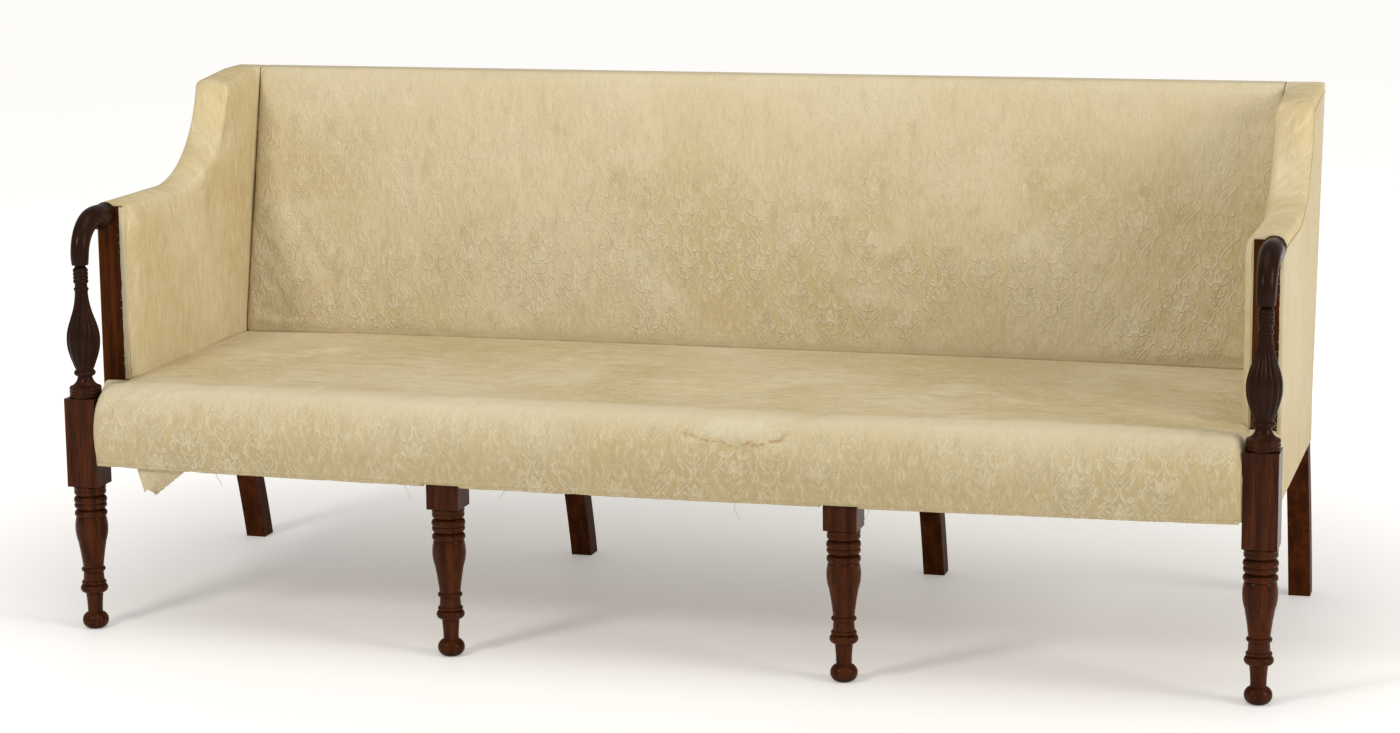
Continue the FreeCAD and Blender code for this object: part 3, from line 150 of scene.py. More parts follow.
class Finish:
    """A small writer of material nodes, so that each finish reads as a list of steps."""

    def __init__(self, name):
        self.material = bpy.data.materials.new(name)
        self.material.use_nodes = True
        self.tree = self.material.node_tree
        self.tree.nodes.clear()
        self.surface = self.add("ShaderNodeBsdfPrincipled")
        output = self.add("ShaderNodeOutputMaterial")
        self.tree.links.new(self.surface.outputs["BSDF"], output.inputs["Surface"])

    def add(self, kind, **settings):
        node = self.tree.nodes.new(kind)
        for key, value in settings.items():
            setattr(node, key, value)
        return node

    def put(self, socket, value):
        if isinstance(value, bpy.types.NodeSocket):
            self.tree.links.new(value, socket)
        else:
            socket.default_value = value

    def set(self, **inputs):
        for key, value in inputs.items():
            self.put(self.surface.inputs[key.replace("_", " ")], value)

    def math(self, operation, *values):
        node = self.add("ShaderNodeMath", operation=operation)
        for socket, value in zip(node.inputs, values):
            self.put(socket, value)
        return node.outputs[0]

    def times(self, first, second):
        return self.math("MULTIPLY", first, second)

    def plus(self, first, second):
        return self.math("ADD", first, second)

    def vector(self, operation, *values):
        node = self.add("ShaderNodeVectorMath", operation=operation)
        for socket, value in zip(node.inputs, values):
            self.put(socket, value)
        return node.outputs["Value" if operation == "LENGTH" else "Vector"]

    def parts(self, vector):
        """The X, Y and Z of a vector."""
        node = self.add("ShaderNodeSeparateXYZ")
        self.put(node.inputs[0], vector)
        return node.outputs

    def moved(self, vector, location=(0, 0, 0), angle=0, scale=(1, 1, 1), kind="POINT"):
        node = self.add("ShaderNodeMapping", vector_type=kind)
        self.put(node.inputs["Vector"], vector)
        node.inputs["Location"].default_value = location
        node.inputs["Rotation"].default_value = (0, 0, math.radians(angle))
        node.inputs["Scale"].default_value = scale
        return node.outputs[0]

    def share(self, value, low, high, to_low=0.0, to_high=1.0):
        node = self.add("ShaderNodeMapRange", interpolation_type="SMOOTHSTEP")
        for socket, number in zip(node.inputs, (value, low, high, to_low, to_high)):
            self.put(socket, number)
        return node.outputs[0]

    def cloud(self, vector, scale, detail=2.0, roughness=0.5):
        node = self.add("ShaderNodeTexNoise")
        self.put(node.inputs["Vector"], vector)
        node.inputs["Scale"].default_value = scale
        node.inputs["Detail"].default_value = detail
        node.inputs["Roughness"].default_value = roughness
        return node.outputs["Fac"]

    def blend(self, factor, first, second):
        node = self.add("ShaderNodeMix", data_type="RGBA")
        self.put(node.inputs["Factor"], factor)
        for socket, value in ((node.inputs[6], first), (node.inputs[7], second)):
            self.put(socket, value if isinstance(value, bpy.types.NodeSocket) else (*value, 1))
        return node.outputs[2]

    def bump(self, height, distance, strength):
        node = self.add("ShaderNodeBump")
        self.put(node.inputs["Height"], height)
        node.inputs["Distance"].default_value = distance
        node.inputs["Strength"].default_value = strength
        self.set(Normal=node.outputs[0])


print("finishes can be written")

# %% [markdown]
# ## Floor and light
# A white sweep of paper lies under the sofa. The main lamp is a soft box in front on the left, so shadows
# run to the right and back; the white room fills the rest. One bright sky could light it all, but separate
# lamps let the shadows be placed. The paper also carries painted light: it glows a little, and more away
# from the sofa, so it is white away from the sofa and less bright close to it.

# %% Make the floor and the lights
FLOOR_SIZE = 90
FLOOR_DROP = 0.0005     # keeps the paper just under the feet
scene.view_settings.view_transform = "Standard"

paper = Finish("white_paper")
spot = paper.add("ShaderNodeTexCoord").outputs["Object"]
tint = paper.blend(paper.cloud(spot, 1.5), (0.86, 0.845, 0.835), (0.88, 0.87, 0.86))
# painted light: the paper's emission, weaker near the sofa and stronger away from it
painted_floor_light = paper.share(paper.vector("LENGTH", spot), 0.75, 2.2, 0.26, 0.66)
paper.set(Base_Color=tint, Roughness=0.55, Emission_Color=(1, 0.985, 0.965, 1), Emission_Strength=painted_floor_light)
bpy.ops.mesh.primitive_plane_add(size=FLOOR_SIZE, location=(0, 0, -FLOOR_DROP))
floor = bpy.context.object
floor.name = "floor"
floor.data.materials.append(paper.material)

world = bpy.data.worlds.new("room")
scene.world = world
world.use_nodes = True
room = world.node_tree.nodes["Background"].inputs
room["Color"].default_value = (1, 0.99, 0.975, 1)
room["Strength"].default_value = 0.36


def lamp(name, place, target, size, power, colour=(1, 1, 1)):
    data = bpy.data.lights.new(name, "AREA")
    data.shape = "DISK"
    data.size = size
    data.energy = power
    data.color = colour
    item = bpy.data.objects.new(name, data)
    item.location = place
    away = Vector([a - b for a, b in zip(place, target)])
    item.rotation_euler = away.to_track_quat("Z", "Y").to_euler()
    scene.collection.objects.link(item)


lamp("main_lamp", (-1.75, -2.9, 2.35), (0.1, 0, 0.4), 0.8, 44, (1, 0.97, 0.93))
lamp("side_lamp", (6.4, -1.9, 3.0), (0.0, 0, 0.5), 3.0, 185, (1, 0.965, 0.915))
lamp("top_lamp", (0.3, -0.6, 3.4), (0.1, 0, 0.3), 2.6, 34)

# %% [markdown]
# ## Polished wood
# Mahogany is red-brown with long darker pores. The turned work took more polish and handling, so it is
# darker and glossier than the square blocks and stiles, and its hollows keep old polish. The grain could
# come from a picture; stretched noise runs round a turning without a seam, and at any size.

# %% Make the woods
HANDLED_BLACK = (0.012, 0.0062, 0.0038)


def wood(name, dark, light, pore, grain, roughness, shine, hollow=0.0, handled=None):
    """Wood with long grain. grain: the stretch of the pattern along X, Y and Z; hollow: old polish in the
    grooves; handled: heights between which the wood turns to the near black of long handling."""
    finish = Finish(name)
    coordinates = finish.add("ShaderNodeTexCoord").outputs["Object"]
    long_grain = finish.moved(coordinates, scale=grain)
    broad = finish.cloud(long_grain, 1.0, 4.0, 0.6)
    fine = finish.cloud(long_grain, 5.5, 3.0, 0.65)
    colour = finish.blend(finish.share(broad, 0.3, 0.72), dark, light)
    pores = finish.share(fine, 0.52, 0.68, 0.0, 0.7)
    colour = finish.blend(pores, colour, pore)
    if hollow:
        shadow = finish.add("ShaderNodeAmbientOcclusion", samples=6)
        shadow.inputs["Distance"].default_value = 0.012
        depth = finish.share(shadow.outputs["AO"], 0.35, 0.95, hollow, 0.0)
        colour = finish.blend(depth, colour, pore)
    if handled:
        blackened = finish.share(finish.parts(coordinates)[2], *handled, 0.0, 0.78)
        colour = finish.blend(blackened, colour, HANDLED_BLACK)
    finish.set(Base_Color=colour, Roughness=finish.share(fine, 0.3, 0.8, roughness, roughness + 0.14),
               Specular_IOR_Level=shine)
    finish.bump(fine, 0.0002, 0.35)
    return finish.material


turned = wood("turned_mahogany", (0.029, 0.0076, 0.0024), (0.078, 0.0205, 0.0054), (0.009, 0.003, 0.0014),
              (70, 70, 5), 0.2, 0.06, hollow=0.85, handled=(post_low[2] + 0.36, post_low[2] + 0.46))
square = wood("mahogany", (0.036, 0.0088, 0.0021), (0.085, 0.0235, 0.0055), (0.014, 0.0042, 0.0016),
              (60, 60, 3.5), 0.38, 0.02)
beech = wood("beech", (0.3, 0.19, 0.1), (0.43, 0.29, 0.17), (0.2, 0.12, 0.06), (8, 40, 40), 0.6, 0.2)
print("turned mahogany, square mahogany and beech are ready")

# %% [markdown]
# ## Iron, and the frame's finishes
# Tacks and screws are dull iron with a little rust. The record names a slot for each piece of the frame, so
# one list from slot to finish dresses all of them, and no piece has to be named here.

# %% Make the iron and give the frame its finishes
iron = Finish("iron")
rust = iron.cloud(iron.add("ShaderNodeTexCoord").outputs["Object"], 400, 3.0)
rusty = iron.blend(iron.share(rust, 0.45, 0.7), (0.11, 0.1, 0.095), (0.1, 0.05, 0.025))
iron.set(Base_Color=rusty, Metallic=0.75, Roughness=iron.share(rust, 0.3, 0.7, 0.45, 0.7))
iron.bump(rust, 0.0002, 0.4)

SLOT_FINISH = {"mahogany_turned": turned, "mahogany": square, "frame_wood": beech, "iron": iron.material}
painted = 0
for part in frame["record"]["subparts"]:
    if part["material_slot"] in SLOT_FINISH:
        mesh = nodes[part["node"]].data
        mesh.materials.clear()
        mesh.materials.append(SLOT_FINISH[part["material_slot"]])
        painted += 1
print(painted, "wood and iron pieces have their finish")

# %% [markdown]
# ## The figure of the damask
# The cover is a cream silk in one colour: its figure shows only because the threads lie the other way there
# and stand a little proud. It is a wavy frame of stems round a tulip with leaves. It could be painted as a
# picture and tiled; here each leaf is an oval in half a cell, mirrored and repeated with a half drop, so it
# stays sharp at any distance.

# %% Draw the figure
CELL = (0.086, 0.118)   # width and height of one repeat, as drawn
FIGURE_SCALE = 1.3      # the figure is woven this many times smaller than drawn
STEM_SWING, STEM_MIDDLE = 0.0185, 0.0217
# each leaf: middle across, middle up, half width, half length, turn in degrees
LEAVES = [
    (0.0, 0.0225, 0.0070, 0.0158, 0), (0.0104, 0.0195, 0.0052, 0.0145, -27),
    (0.0178, 0.0104, 0.0047, 0.0133, -58), (0.0, 0.0, 0.0062, 0.0075, 0),
    (0.0, -0.0200, 0.0016, 0.0166, 0), (0.0112, -0.0137, 0.0042, 0.0120, -52),
    (0.0087, -0.0307, 0.0035, 0.0100, -38), (0.0, -0.0498, 0.0058, 0.0062, 0),
    (0.0320, 0.0286, 0.0040, 0.0112, 32), (0.0274, -0.0332, 0.0038, 0.0116, -24),
    (0.0365, -0.0066, 0.0033, 0.0100, 8), (0.0145, 0.0448, 0.0038, 0.0108, 52),
    (0.0250, 0.0465, 0.0066, 0.0072, 0), (0.0335, 0.0100, 0.0036, 0.0085, -35),
    (0.0190, -0.0480, 0.0060, 0.0045, 20), (0.0430, 0.0, 0.0046, 0.0120, 0),
    (0.0430, 0.0590, 0.0046, 0.0120, 0), (0.0430, -0.0590, 0.0046, 0.0120, 0),
]


def damask_figure(finish, cloth, loose):
    """How strongly the figure stands at each place of the cloth, from 0 to 1."""
    place = finish.vector("ADD", finish.moved(cloth, scale=(FIGURE_SCALE, FIGURE_SCALE, 1)), loose)
    across, up = finish.parts(place)[0:2]
    column = finish.math("DIVIDE", across, CELL[0])
    drop = finish.times(finish.math("FLOOR", column), 0.5)
    height = finish.plus(finish.math("DIVIDE", up, CELL[1]), drop)
    side = finish.math("SUBTRACT", finish.math("FRACT", column), 0.5)
    rise = finish.math("SUBTRACT", finish.math("FRACT", height), 0.5)
    from_middle = finish.times(finish.math("ABSOLUTE", side), CELL[0])
    cell = finish.add("ShaderNodeCombineXYZ")
    finish.put(cell.inputs[0], from_middle)
    finish.put(cell.inputs[1], finish.times(rise, CELL[1]))
    bend = finish.math("COSINE", finish.times(rise, 2 * math.pi))
    stem = finish.plus(finish.times(bend, STEM_SWING), STEM_MIDDLE)
    stem = finish.math("ABSOLUTE", finish.math("SUBTRACT", from_middle, stem))
    figure = finish.share(stem, 0.0012, 0.0030, 1.0, 0.0)
    for u, v, wide, long, angle in LEAVES:
        spot = finish.moved(cell.outputs[0], (u, v, 0), angle, (wide, long, 1), "TEXTURE")
        reach = finish.vector("LENGTH", spot)
        heart = finish.share(reach, 0.38, 0.62, 0.62, 0.0)
        leaf = finish.math("SUBTRACT", finish.share(reach, 0.82, 1.12, 1.0, 0.0), heart)
        figure = finish.math("MAXIMUM", figure, leaf)
    return figure


print("damask with", len(LEAVES), "leaves to half a cell")

# %% [markdown]
# ## Creases and the water mark
# Old silk goes slack and is drawn into fine ribs between wider folds, upright on the front of the seat and
# level on its top. A spill on the roll has dried to a pale patch with a brown lower rim. The largest
# creases are real geometry further down; these finer ones are noise stretched along the pull, which gives
# bump and also painted highlights on their crests and painted shade in their hollows.

# %% Draw the creases and the water mark


def damask_creases(finish, cloth, loose, pucker, broad, level):
    """The fine ribs and the wide folds. level: heights between which they turn from upright to level."""
    def crease(place, scale, detail, roughness):
        return finish.cloud(finish.moved(place, scale=(*scale, 1)), 1.0, detail, roughness)

    fine, wide = (3.0, 0.62), (2.0, 0.55)
    bent = finish.vector("ADD", cloth, finish.vector("MULTIPLY", loose, (0.9, 0.0, 0.0)))
    rib = crease(bent, pucker, *fine)
    fold = crease(finish.vector("ADD", cloth, loose), broad, *wide)
    if not level:
        return rib, fold
    flat_rib = crease(cloth, (0.7 * pucker[1], 0.5 * pucker[0]), *fine)
    flat_fold = crease(cloth, (0.5 * broad[1], broad[0]), *wide)
    turn = finish.share(finish.parts(cloth)[1], *level)
    upright = finish.share(turn, 0.0, 1.0, 1.0, 0.0)
    return [finish.plus(finish.times(one, upright), finish.times(other, turn))
            for one, other in ((rib, flat_rib), (fold, flat_fold))]


def water_mark(finish, colour, cloth, loose, place):
    """Adds a dried water mark to a colour. place: (u, v, half width, half height) on the cloth."""
    u, v, wide, tall = place
    wander = finish.vector("MULTIPLY", loose, (1.8, 1.8, 0.0))
    spot = finish.moved(finish.vector("ADD", cloth, wander), (u, v, 0), 0, (wide, tall, 1), "TEXTURE")
    reach = finish.vector("LENGTH", spot)
    colour = finish.blend(finish.share(reach, 0.4, 1.0, 0.4, 0.0), colour, (0.70, 0.66, 0.50))
    rim = finish.math("ABSOLUTE", finish.math("SUBTRACT", reach, 1.0))
    rim = finish.share(rim, 0.02, 0.14, 0.6, 0.0)
    rim = finish.times(rim, finish.share(finish.parts(spot)[1], -0.55, 0.05, 1.0, 0.0))
    rim = finish.times(rim, finish.share(finish.cloud(cloth, 90.0), 0.35, 0.6))
    return finish.blend(rim, colour, (0.36, 0.19, 0.065))


print("creases and a water mark can be drawn")

# %% [markdown]
# ## Silk damask
# Colour, wear and relief come together here. Age has left warm and pale zones, and where the cloth is rubbed
# both its figure and its creases fade. The wear could be painted on each piece; a few bands of height, broken
# by noise, are enough, so each cover only says where it is pale. Light and shade are painted in as well: pale
# bands where the seat meets the back, pale crests and dark hollows on the creases, painted shade on the front
# of the seat, and a lighter copy of the silk for the arms and a darker one for the outside.

# %% Make the damask
GOLD, CREAM, IVORY = (0.540, 0.432, 0.228), (0.625, 0.526, 0.340), (0.690, 0.612, 0.434)
SWAY = 0.013            # how far the weave wanders
THREADS_TO_METRE = 190.0


def damask(name, tone=1.0, pucker=(175.0, 42.0), broad=(42.0, 15.0), pale_bands=(), figured=(0.0, 9.0, 1.0, 0.6),
           level=None, front_shade=None, stain=None):
    """The silk. pucker and broad: fine and wide creases, as waves to the metre across and up, which give its
    bump and also painted highlights on their crests and painted shade in their hollows; pale_bands: bands of
    the cloth (low, middle, high, strength) that are painted pale, as rubbed wear and, where the seat meets the
    back, as painted light over the shade of that crease; figured: heights between which the figure fades, and
    its strength at each; level: heights between which the creases turn level; front_shade: heights between
    which the painted shade on the front of the seat, a darker gold, fades out; tone: brightness of the whole
    silk, painted light above 1 and painted shade below 1; stain: the place of a dried water mark."""
    finish = Finish(name)
    # tone scales the whole silk: painted light above 1, painted shade below 1
    gold, cream, ivory = ([c * tone for c in colour] for colour in (GOLD, CREAM, IVORY))
    cloth = finish.add("ShaderNodeUVMap", uv_map="cloth").outputs["UV"]
    up = finish.parts(cloth)[1]
    sway = finish.add("ShaderNodeTexNoise")
    finish.put(sway.inputs["Vector"], cloth)
    sway.inputs["Scale"].default_value = 26.0
    sway.inputs["Detail"].default_value = 2.0
    loose = finish.vector("SUBTRACT", sway.outputs["Color"], (0.5, 0.5, 0.5))
    loose = finish.vector("MULTIPLY", loose, (SWAY, SWAY, 0.0))

    patch = finish.cloud(finish.moved(cloth, (3.1, 1.7, 0)), 7.0, 3.0, 0.6)
    wear_and_painted_light = finish.share(patch, 0.52, 0.75, 0.0, 0.55)
    # pale bands: rubbed wear, except where the seat meets the back, where the band is painted light over the
    # shade of that crease
    for low, middle, high, strength in pale_bands:
        rising = finish.share(up, low, middle, 0.0, strength)
        wear_and_painted_light = finish.math("MAXIMUM", wear_and_painted_light, finish.times(rising, finish.share(up, middle, high, 1.0, 0.0)))
    thin = finish.cloud(finish.moved(cloth, (7.3, 4.1, 0)), 5.0, 3.0)
    thin = finish.times(finish.share(thin, 0.38, 0.56, 0.3, 1.0), finish.share(up, *figured))
    thin = finish.times(thin, finish.share(wear_and_painted_light, 0.0, 1.0, 1.0, 0.2))
    shows = finish.times(damask_figure(finish, cloth, loose), thin)

    warm = finish.cloud(cloth, 2.6, 3.0, 0.55)
    ground = finish.blend(finish.share(warm, 0.34, 0.66), gold, cream)
    ground = finish.blend(wear_and_painted_light, ground, ivory)
    # painted shade: the front of the seat turns darker gold towards its lower edge
    if front_shade:
        painted_front_shade = finish.share(up, *front_shade, 0.72, 0.0)
        ground = finish.blend(painted_front_shade, ground, [0.8 * c for c in gold])
    colour = finish.blend(finish.times(shows, 0.8), ground, ivory)

    rib, fold = damask_creases(finish, cloth, loose, pucker, broad, level)
    # painted highlights on the crests of the creases and painted shade in their hollows
    slack = finish.share(wear_and_painted_light, 0.0, 0.8, 1.0, 0.25)
    for crease_light_share, crease_light_colour in ((finish.share(rib, 0.50, 0.70, 0.0, 0.46), ivory),
                         (finish.share(rib, 0.30, 0.47, 0.32, 0.0), [c * 0.84 for c in gold]),
                         (finish.share(fold, 0.24, 0.46, 0.30, 0.0), [c * 0.72 for c in gold])):
        colour = finish.blend(finish.times(crease_light_share, slack), colour, crease_light_colour)
    if stain:
        colour = water_mark(finish, colour, cloth, loose, stain)

    thread = finish.add("ShaderNodeTexWave", wave_type="BANDS", bands_direction="Y")
    finish.put(thread.inputs["Vector"], cloth)
    thread.inputs["Scale"].default_value = THREADS_TO_METRE
    thread.inputs["Distortion"].default_value = 1.5
    crease = finish.times(finish.plus(finish.times(rib, 0.55), finish.times(fold, 0.75)), slack)
    relief = finish.plus(finish.times(shows, 1.1), finish.times(crease, 2.5))
    relief = finish.plus(relief, finish.times(thread.outputs["Fac"], 0.08))
    finish.bump(relief, 0.0016, 0.85)
    finish.set(Base_Color=colour, Roughness=finish.share(shows, 0.0, 1.0, 0.62, 0.46),
               Specular_IOR_Level=0.02)
    return finish.material


# The seat's second pale band and the back's second are painted light over the shade where the seat meets the
# back.
silk_seat = damask("damask_seat", pale_bands=[(0.085, 0.15, 0.235, 0.7), (0.69, 0.755, 0.9, 0.8)],
                   figured=(0.10, 0.16, 0.7, 0.35), level=(0.15, 0.22), front_shade=(0.03, 0.15),
                   stain=(0.163, 0.122, 0.085, 0.026))
silk_back = damask("damask_back", pale_bands=[(0.24, 0.50, 0.80, 0.5), (-0.05, 0.0, 0.03, 0.8)],
                   figured=(0.10, 0.36, 0.95, 0.5))
# the silk for the arms is a lighter copy, painted light; the silk for the outside is a darker copy, painted
# shade
silk_arm = damask("damask_arm_painted_light", tone=1.1, pucker=(90.0, 24.0), broad=(20.0, 9.0),
                  figured=(0.0, 0.1, 1.0, 0.25))
silk_outside = damask("damask_outside_painted_shade", tone=0.95, broad=(24.0, 9.0), pale_bands=[(0.25, 0.6, 1.2, 0.5)],
                      figured=(0.0, 0.1, 1.0, 0.4))
print("silk for the seat, the back, the arms and the outside")

# %% [markdown]
# ## Lines of cloth
# Upholstery is drawn in sections: the line that a cover follows from one row of tacks to the other. Curve
# objects could carry these lines; arrays of points are easier to space evenly, to measure and to bend by
# noise. Smooth noise along the cloth gives its lumps and creases.

# %% Write the line helpers


def lengths(line):
    """How far along the line each of its points lies."""
    return np.concatenate([[0], np.cumsum(np.linalg.norm(np.diff(line, axis=0), axis=1))])


def even(line, count):
    """The same line with evenly spaced points."""
    line = np.asarray(line, float)
    run = lengths(line)
    at = np.linspace(0, run[-1], count)
    return np.column_stack([np.interp(at, run, line[:, k]) for k in range(line.shape[1])])


def smooth(points, count):
    """Evenly spaced points on a smooth line through the given ones."""
    p = np.asarray(points, float)
    p = np.vstack([2 * p[0] - p[1], p, 2 * p[-1] - p[-2]])
    t = np.linspace(0, 1, 16, endpoint=False)[:, None]
    runs = []
    for a, b, c, d in zip(p, p[1:], p[2:], p[3:]):
        runs.append(0.5 * (2 * b + (c - a) * t + (2 * a - 5 * b + 4 * c - d) * t ** 2
                           + (3 * b - a - 3 * c + d) * t ** 3))
    return even(np.vstack(runs + [p[-2:-1]]), count)


def ripple(points, size, seed):
    """Smooth noise from -1 to 1 at points, with its own size along each axis."""
    scaled = np.asarray(points, float) / np.asarray(size) + seed
    return np.array([noise.noise(p) for p in scaled])


def ripple_along(places, size, seed):
    """The same noise along one line."""
    return ripple(np.column_stack([places, places * 0, places * 0]), (size, 1, 1), seed)


def ramp(distance, run):
    """0 before a place, then rising to 1 over the run after it."""
    return np.clip(distance / run, 0, 1)


print("a smooth line through 3 points is", round(lengths(smooth([(0, 0), (1, 1), (2, 0)], 50))[-1], 3), "long")

# %% [markdown]
# ## Cloth as a mesh
# Cloth is laid out as a grid of points, column by column, with a flat map in metres so that the weave keeps
# its size. Pads are closed forms: each column goes round the stuffing, and both ends are capped. A remeshed
# block would be closed as well, but it would lose the flat map and with it the run of the weave.

# %% Write the mesh helpers


def new_piece(name, vertices, faces, places):
    """A smooth mesh in the scene, with its flat map."""
    mesh = bpy.data.meshes.new(name)
    mesh.from_pydata(vertices, [], faces)
    mesh.uv_layers.new(name="cloth").data.foreach_set("uv", np.asarray(places, np.float32).ravel())
    mesh.polygons.foreach_set("use_smooth", [True] * len(faces))
    mesh.update()
    piece = bpy.data.objects.new(name, mesh)
    scene.collection.objects.link(piece)
    return piece


def turn_outward(mesh, sides):
    """Turns a closed form's faces outward and keeps a crisp edge round its end faces, which come after its
    sides."""
    work = bmesh.new()
    work.from_mesh(mesh)
    bmesh.ops.recalc_face_normals(work, faces=work.faces)
    work.faces.ensure_lookup_table()
    for face in work.faces[sides:]:
        face.smooth = False
        for edge in face.edges:
            edge.smooth = False
    work.to_mesh(mesh)
    work.free()


def cloth_mesh(name, points, flat, ring=False):
    """A mesh through a grid of points [column][row]. ring closes each column on itself and caps both ends."""
    columns, rows = points.shape[:2]
    i, j = np.meshgrid(np.arange(columns - 1), np.arange(rows if ring else rows - 1), indexing="ij")
    k = (j + 1) % rows
    corners = np.stack([i * rows + j, (i + 1) * rows + j, (i + 1) * rows + k, i * rows + k], -1)
    faces = corners.reshape(-1, 4).tolist()
    sides = len(faces)
    places = np.stack([flat[i, j], flat[i + 1, j], flat[i + 1, k], flat[i, k]], 2).reshape(-1, 2).tolist()
    if ring:
        for column in (0, columns - 1):
            for corner in tessellate_polygon([[Vector(p) for p in points[column]]]):
                faces.append([column * rows + c for c in corner])
                places += [flat[column, c].tolist() for c in corner]
    piece = new_piece(name, points.reshape(-1, 3).tolist(), faces, places)
    if ring:
        turn_outward(piece.data, sides)
    return piece


def points_of(piece):
    spots = np.empty(len(piece.data.vertices) * 3, np.float32)
    piece.data.vertices.foreach_get("co", spots)
    return spots.reshape(-1, 3).astype(float)


def place_points(piece, spots):
    piece.data.vertices.foreach_set("co", np.asarray(spots, np.float32).ravel())
    piece.data.update()


def raise_points(piece, lift):
    """Moves each point of the piece along its normal."""
    normals = np.array([v.normal for v in piece.data.vertices])
    place_points(piece, points_of(piece) + normals * lift[:, None])


print("grids of points can be made into cloth")

# %% [markdown]
# ## Settling a cover
# A cover that has been sat on for years is a little larger than its pad, and hangs slack between its rows of
# tacks. That slack could be sculpted; a short cloth simulation finds by itself where it gathers. The cover is
# let out by a hair, held where it is tacked, and pushed from inside by the stuffing.

# %% Write the settling helper
SILK = {"quality": 4, "mass": 0.3, "tension_stiffness": 20, "compression_stiffness": 20,
        "shear_stiffness": 6, "bending_stiffness": 0.15, "air_damping": 4}
SETTLE_FRAMES = 16


def settle(piece, held, growth, cap, pressure):
    """Settles the piece as cloth, let out by growth and held at the given points. No point moves further
    than cap."""
    start = points_of(piece)
    group = piece.vertex_groups.new(name="held")
    group.add([int(n) for n in np.flatnonzero(held)], 1.0, "REPLACE")
    cloth = piece.modifiers.new("settle", "CLOTH")
    for key, value in SILK.items():
        setattr(cloth.settings, key, value)
    cloth.settings.vertex_group_mass = "held"
    cloth.settings.shrink_min = -growth
    cloth.settings.use_pressure = True
    cloth.settings.uniform_pressure_force = pressure
    cloth.settings.effector_weights.gravity = 0
    cloth.point_cache.frame_end = SETTLE_FRAMES
    for step in range(1, SETTLE_FRAMES + 1):
        scene.frame_set(step)
    settled = piece.evaluated_get(bpy.context.evaluated_depsgraph_get())
    spots = np.empty(len(start) * 3, np.float32)
    settled.data.vertices.foreach_get("co", spots)
    move = spots.reshape(-1, 3).astype(float) - start
    far = np.linalg.norm(move, axis=1)
    piece.modifiers.remove(cloth)
    piece.vertex_groups.clear()
    scene.frame_set(1)
    move *= np.minimum(1, cap / np.maximum(far, 1e-9))[:, None]
    place_points(piece, start + move)
    print(piece.name, "settled by up to", round(1000 * min(far.max(), cap), 1), "mm, mean",
          round(1000 * np.minimum(far, cap).mean(), 2), "mm")


print("covers settle over", SETTLE_FRAMES, "frames")

# %% [markdown]
# ## Cutting and dressing
# Every piece of cloth gets its finish, rides on the sofa and stands for the simple solid in the frame. A flat
# sheet also says to what size it was cut, which its flat map knows, and gets the thickness of real cloth.

# %% Write the dressing helpers


def dress(piece, slot, material, *stands_for):
    piece.data.materials.append(material)
    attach(piece, "root")
    if stands_for:
        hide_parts(*stands_for)
    return piece


def cut_cloth(piece):
    """Says what flat size the piece was cut to: the spread of its flat map, and its true area."""
    places = np.empty(len(piece.data.loops) * 2, np.float32)
    piece.data.uv_layers["cloth"].data.foreach_get("uv", places)
    wide, long = np.ptp(places.reshape(-1, 2).astype(float), axis=0)
    area = min(sum(face.area for face in piece.data.polygons), wide * long)
    print(piece.name, "cut", round(wide, 3), "by", round(long, 3), "m, area", round(area, 4))


def thicken(piece, thickness, offset):
    shell = piece.modifiers.new("thickness", "SOLIDIFY")
    shell.thickness = thickness
    shell.offset = offset


print("cloth can be cut and dressed")

# %% [markdown]
# ## Seat
# One long pad on webbing, with a stitched roll along the front. The cover runs from under the rail over the
# roll and back to the tuck. A swollen box would do for a loose cushion, but this seat's section changes from
# front to back, so one line is drawn over it and repeated along the rail, with rounded ends.

# %% Build the seat pad
ROLL_RISE = 0.122       # height of the seat's edge over the rail's lower edge
REAR_RISE = 0.25        # share of the swell that is left at the tuck
SEAT_ROUND = 0.019      # rounding of the pad's ends
SEAT_COLUMNS = 291
FRONT_ROWS = 112        # rows of the part that shows
CLEAR = 0.0005          # between the pad and what it lies on
END_ZONE = 0.9          # from here outward the pad fits the frame
# from the rail's front face and lower edge, up the front and over the roll
SEAT_FRONT = [(-0.0052, 0.0), (-0.0105, 0.012), (-0.0185, 0.034), (-0.0232, 0.058), (-0.0205, 0.082),
              (-0.0095, 0.107), (0.012, 0.1225), (0.045, 0.1265)]
# from the roll to the tuck: share of the way, share of the swell
SEAT_TOP = [(0.07, 0.33), (0.16, 0.42), (0.38, 0.88), (0.6, 1.0), (0.82, 0.66), (0.95, 0.38), (1.0, REAR_RISE)]


def crown(x, half):
    """Falls from 1 in the middle of a pad towards its ends."""
    return (1.1 - (abs(x) / half) ** 4) / 1.1


def seat_swell(x):
    """How far the top of the pad stands over its edge at x."""
    return (seat_high[2] - seat_low[2] - ROLL_RISE) * crown(x, seat_half)


def seat_path(x, inset):
    """The cover's line from its lower edge over the roll to the tuck, as (y, z). inset rounds the ends."""
    face = float(rail_front(min(abs(x), rail_end)))
    swell = seat_swell(x)
    line = [(face + y + inset * min(1, 0.45 + z / 0.1), rail_bottom + z - inset * min(1, z / 0.09)
             + 0.3 * swell * min(1, max(0, z - 0.08) / 0.045)) for y, z in SEAT_FRONT]
    roll = face + SEAT_FRONT[-1][0]
    for share, rise in SEAT_TOP:
        y = roll + share * (seat_rear - roll)
        tucked = 0.3 if y > stile_front else 1.0
        line.append((y, rail_bottom + ROLL_RISE + max(0.3 * (1 - share), rise) * swell - inset * tucked))
    return line


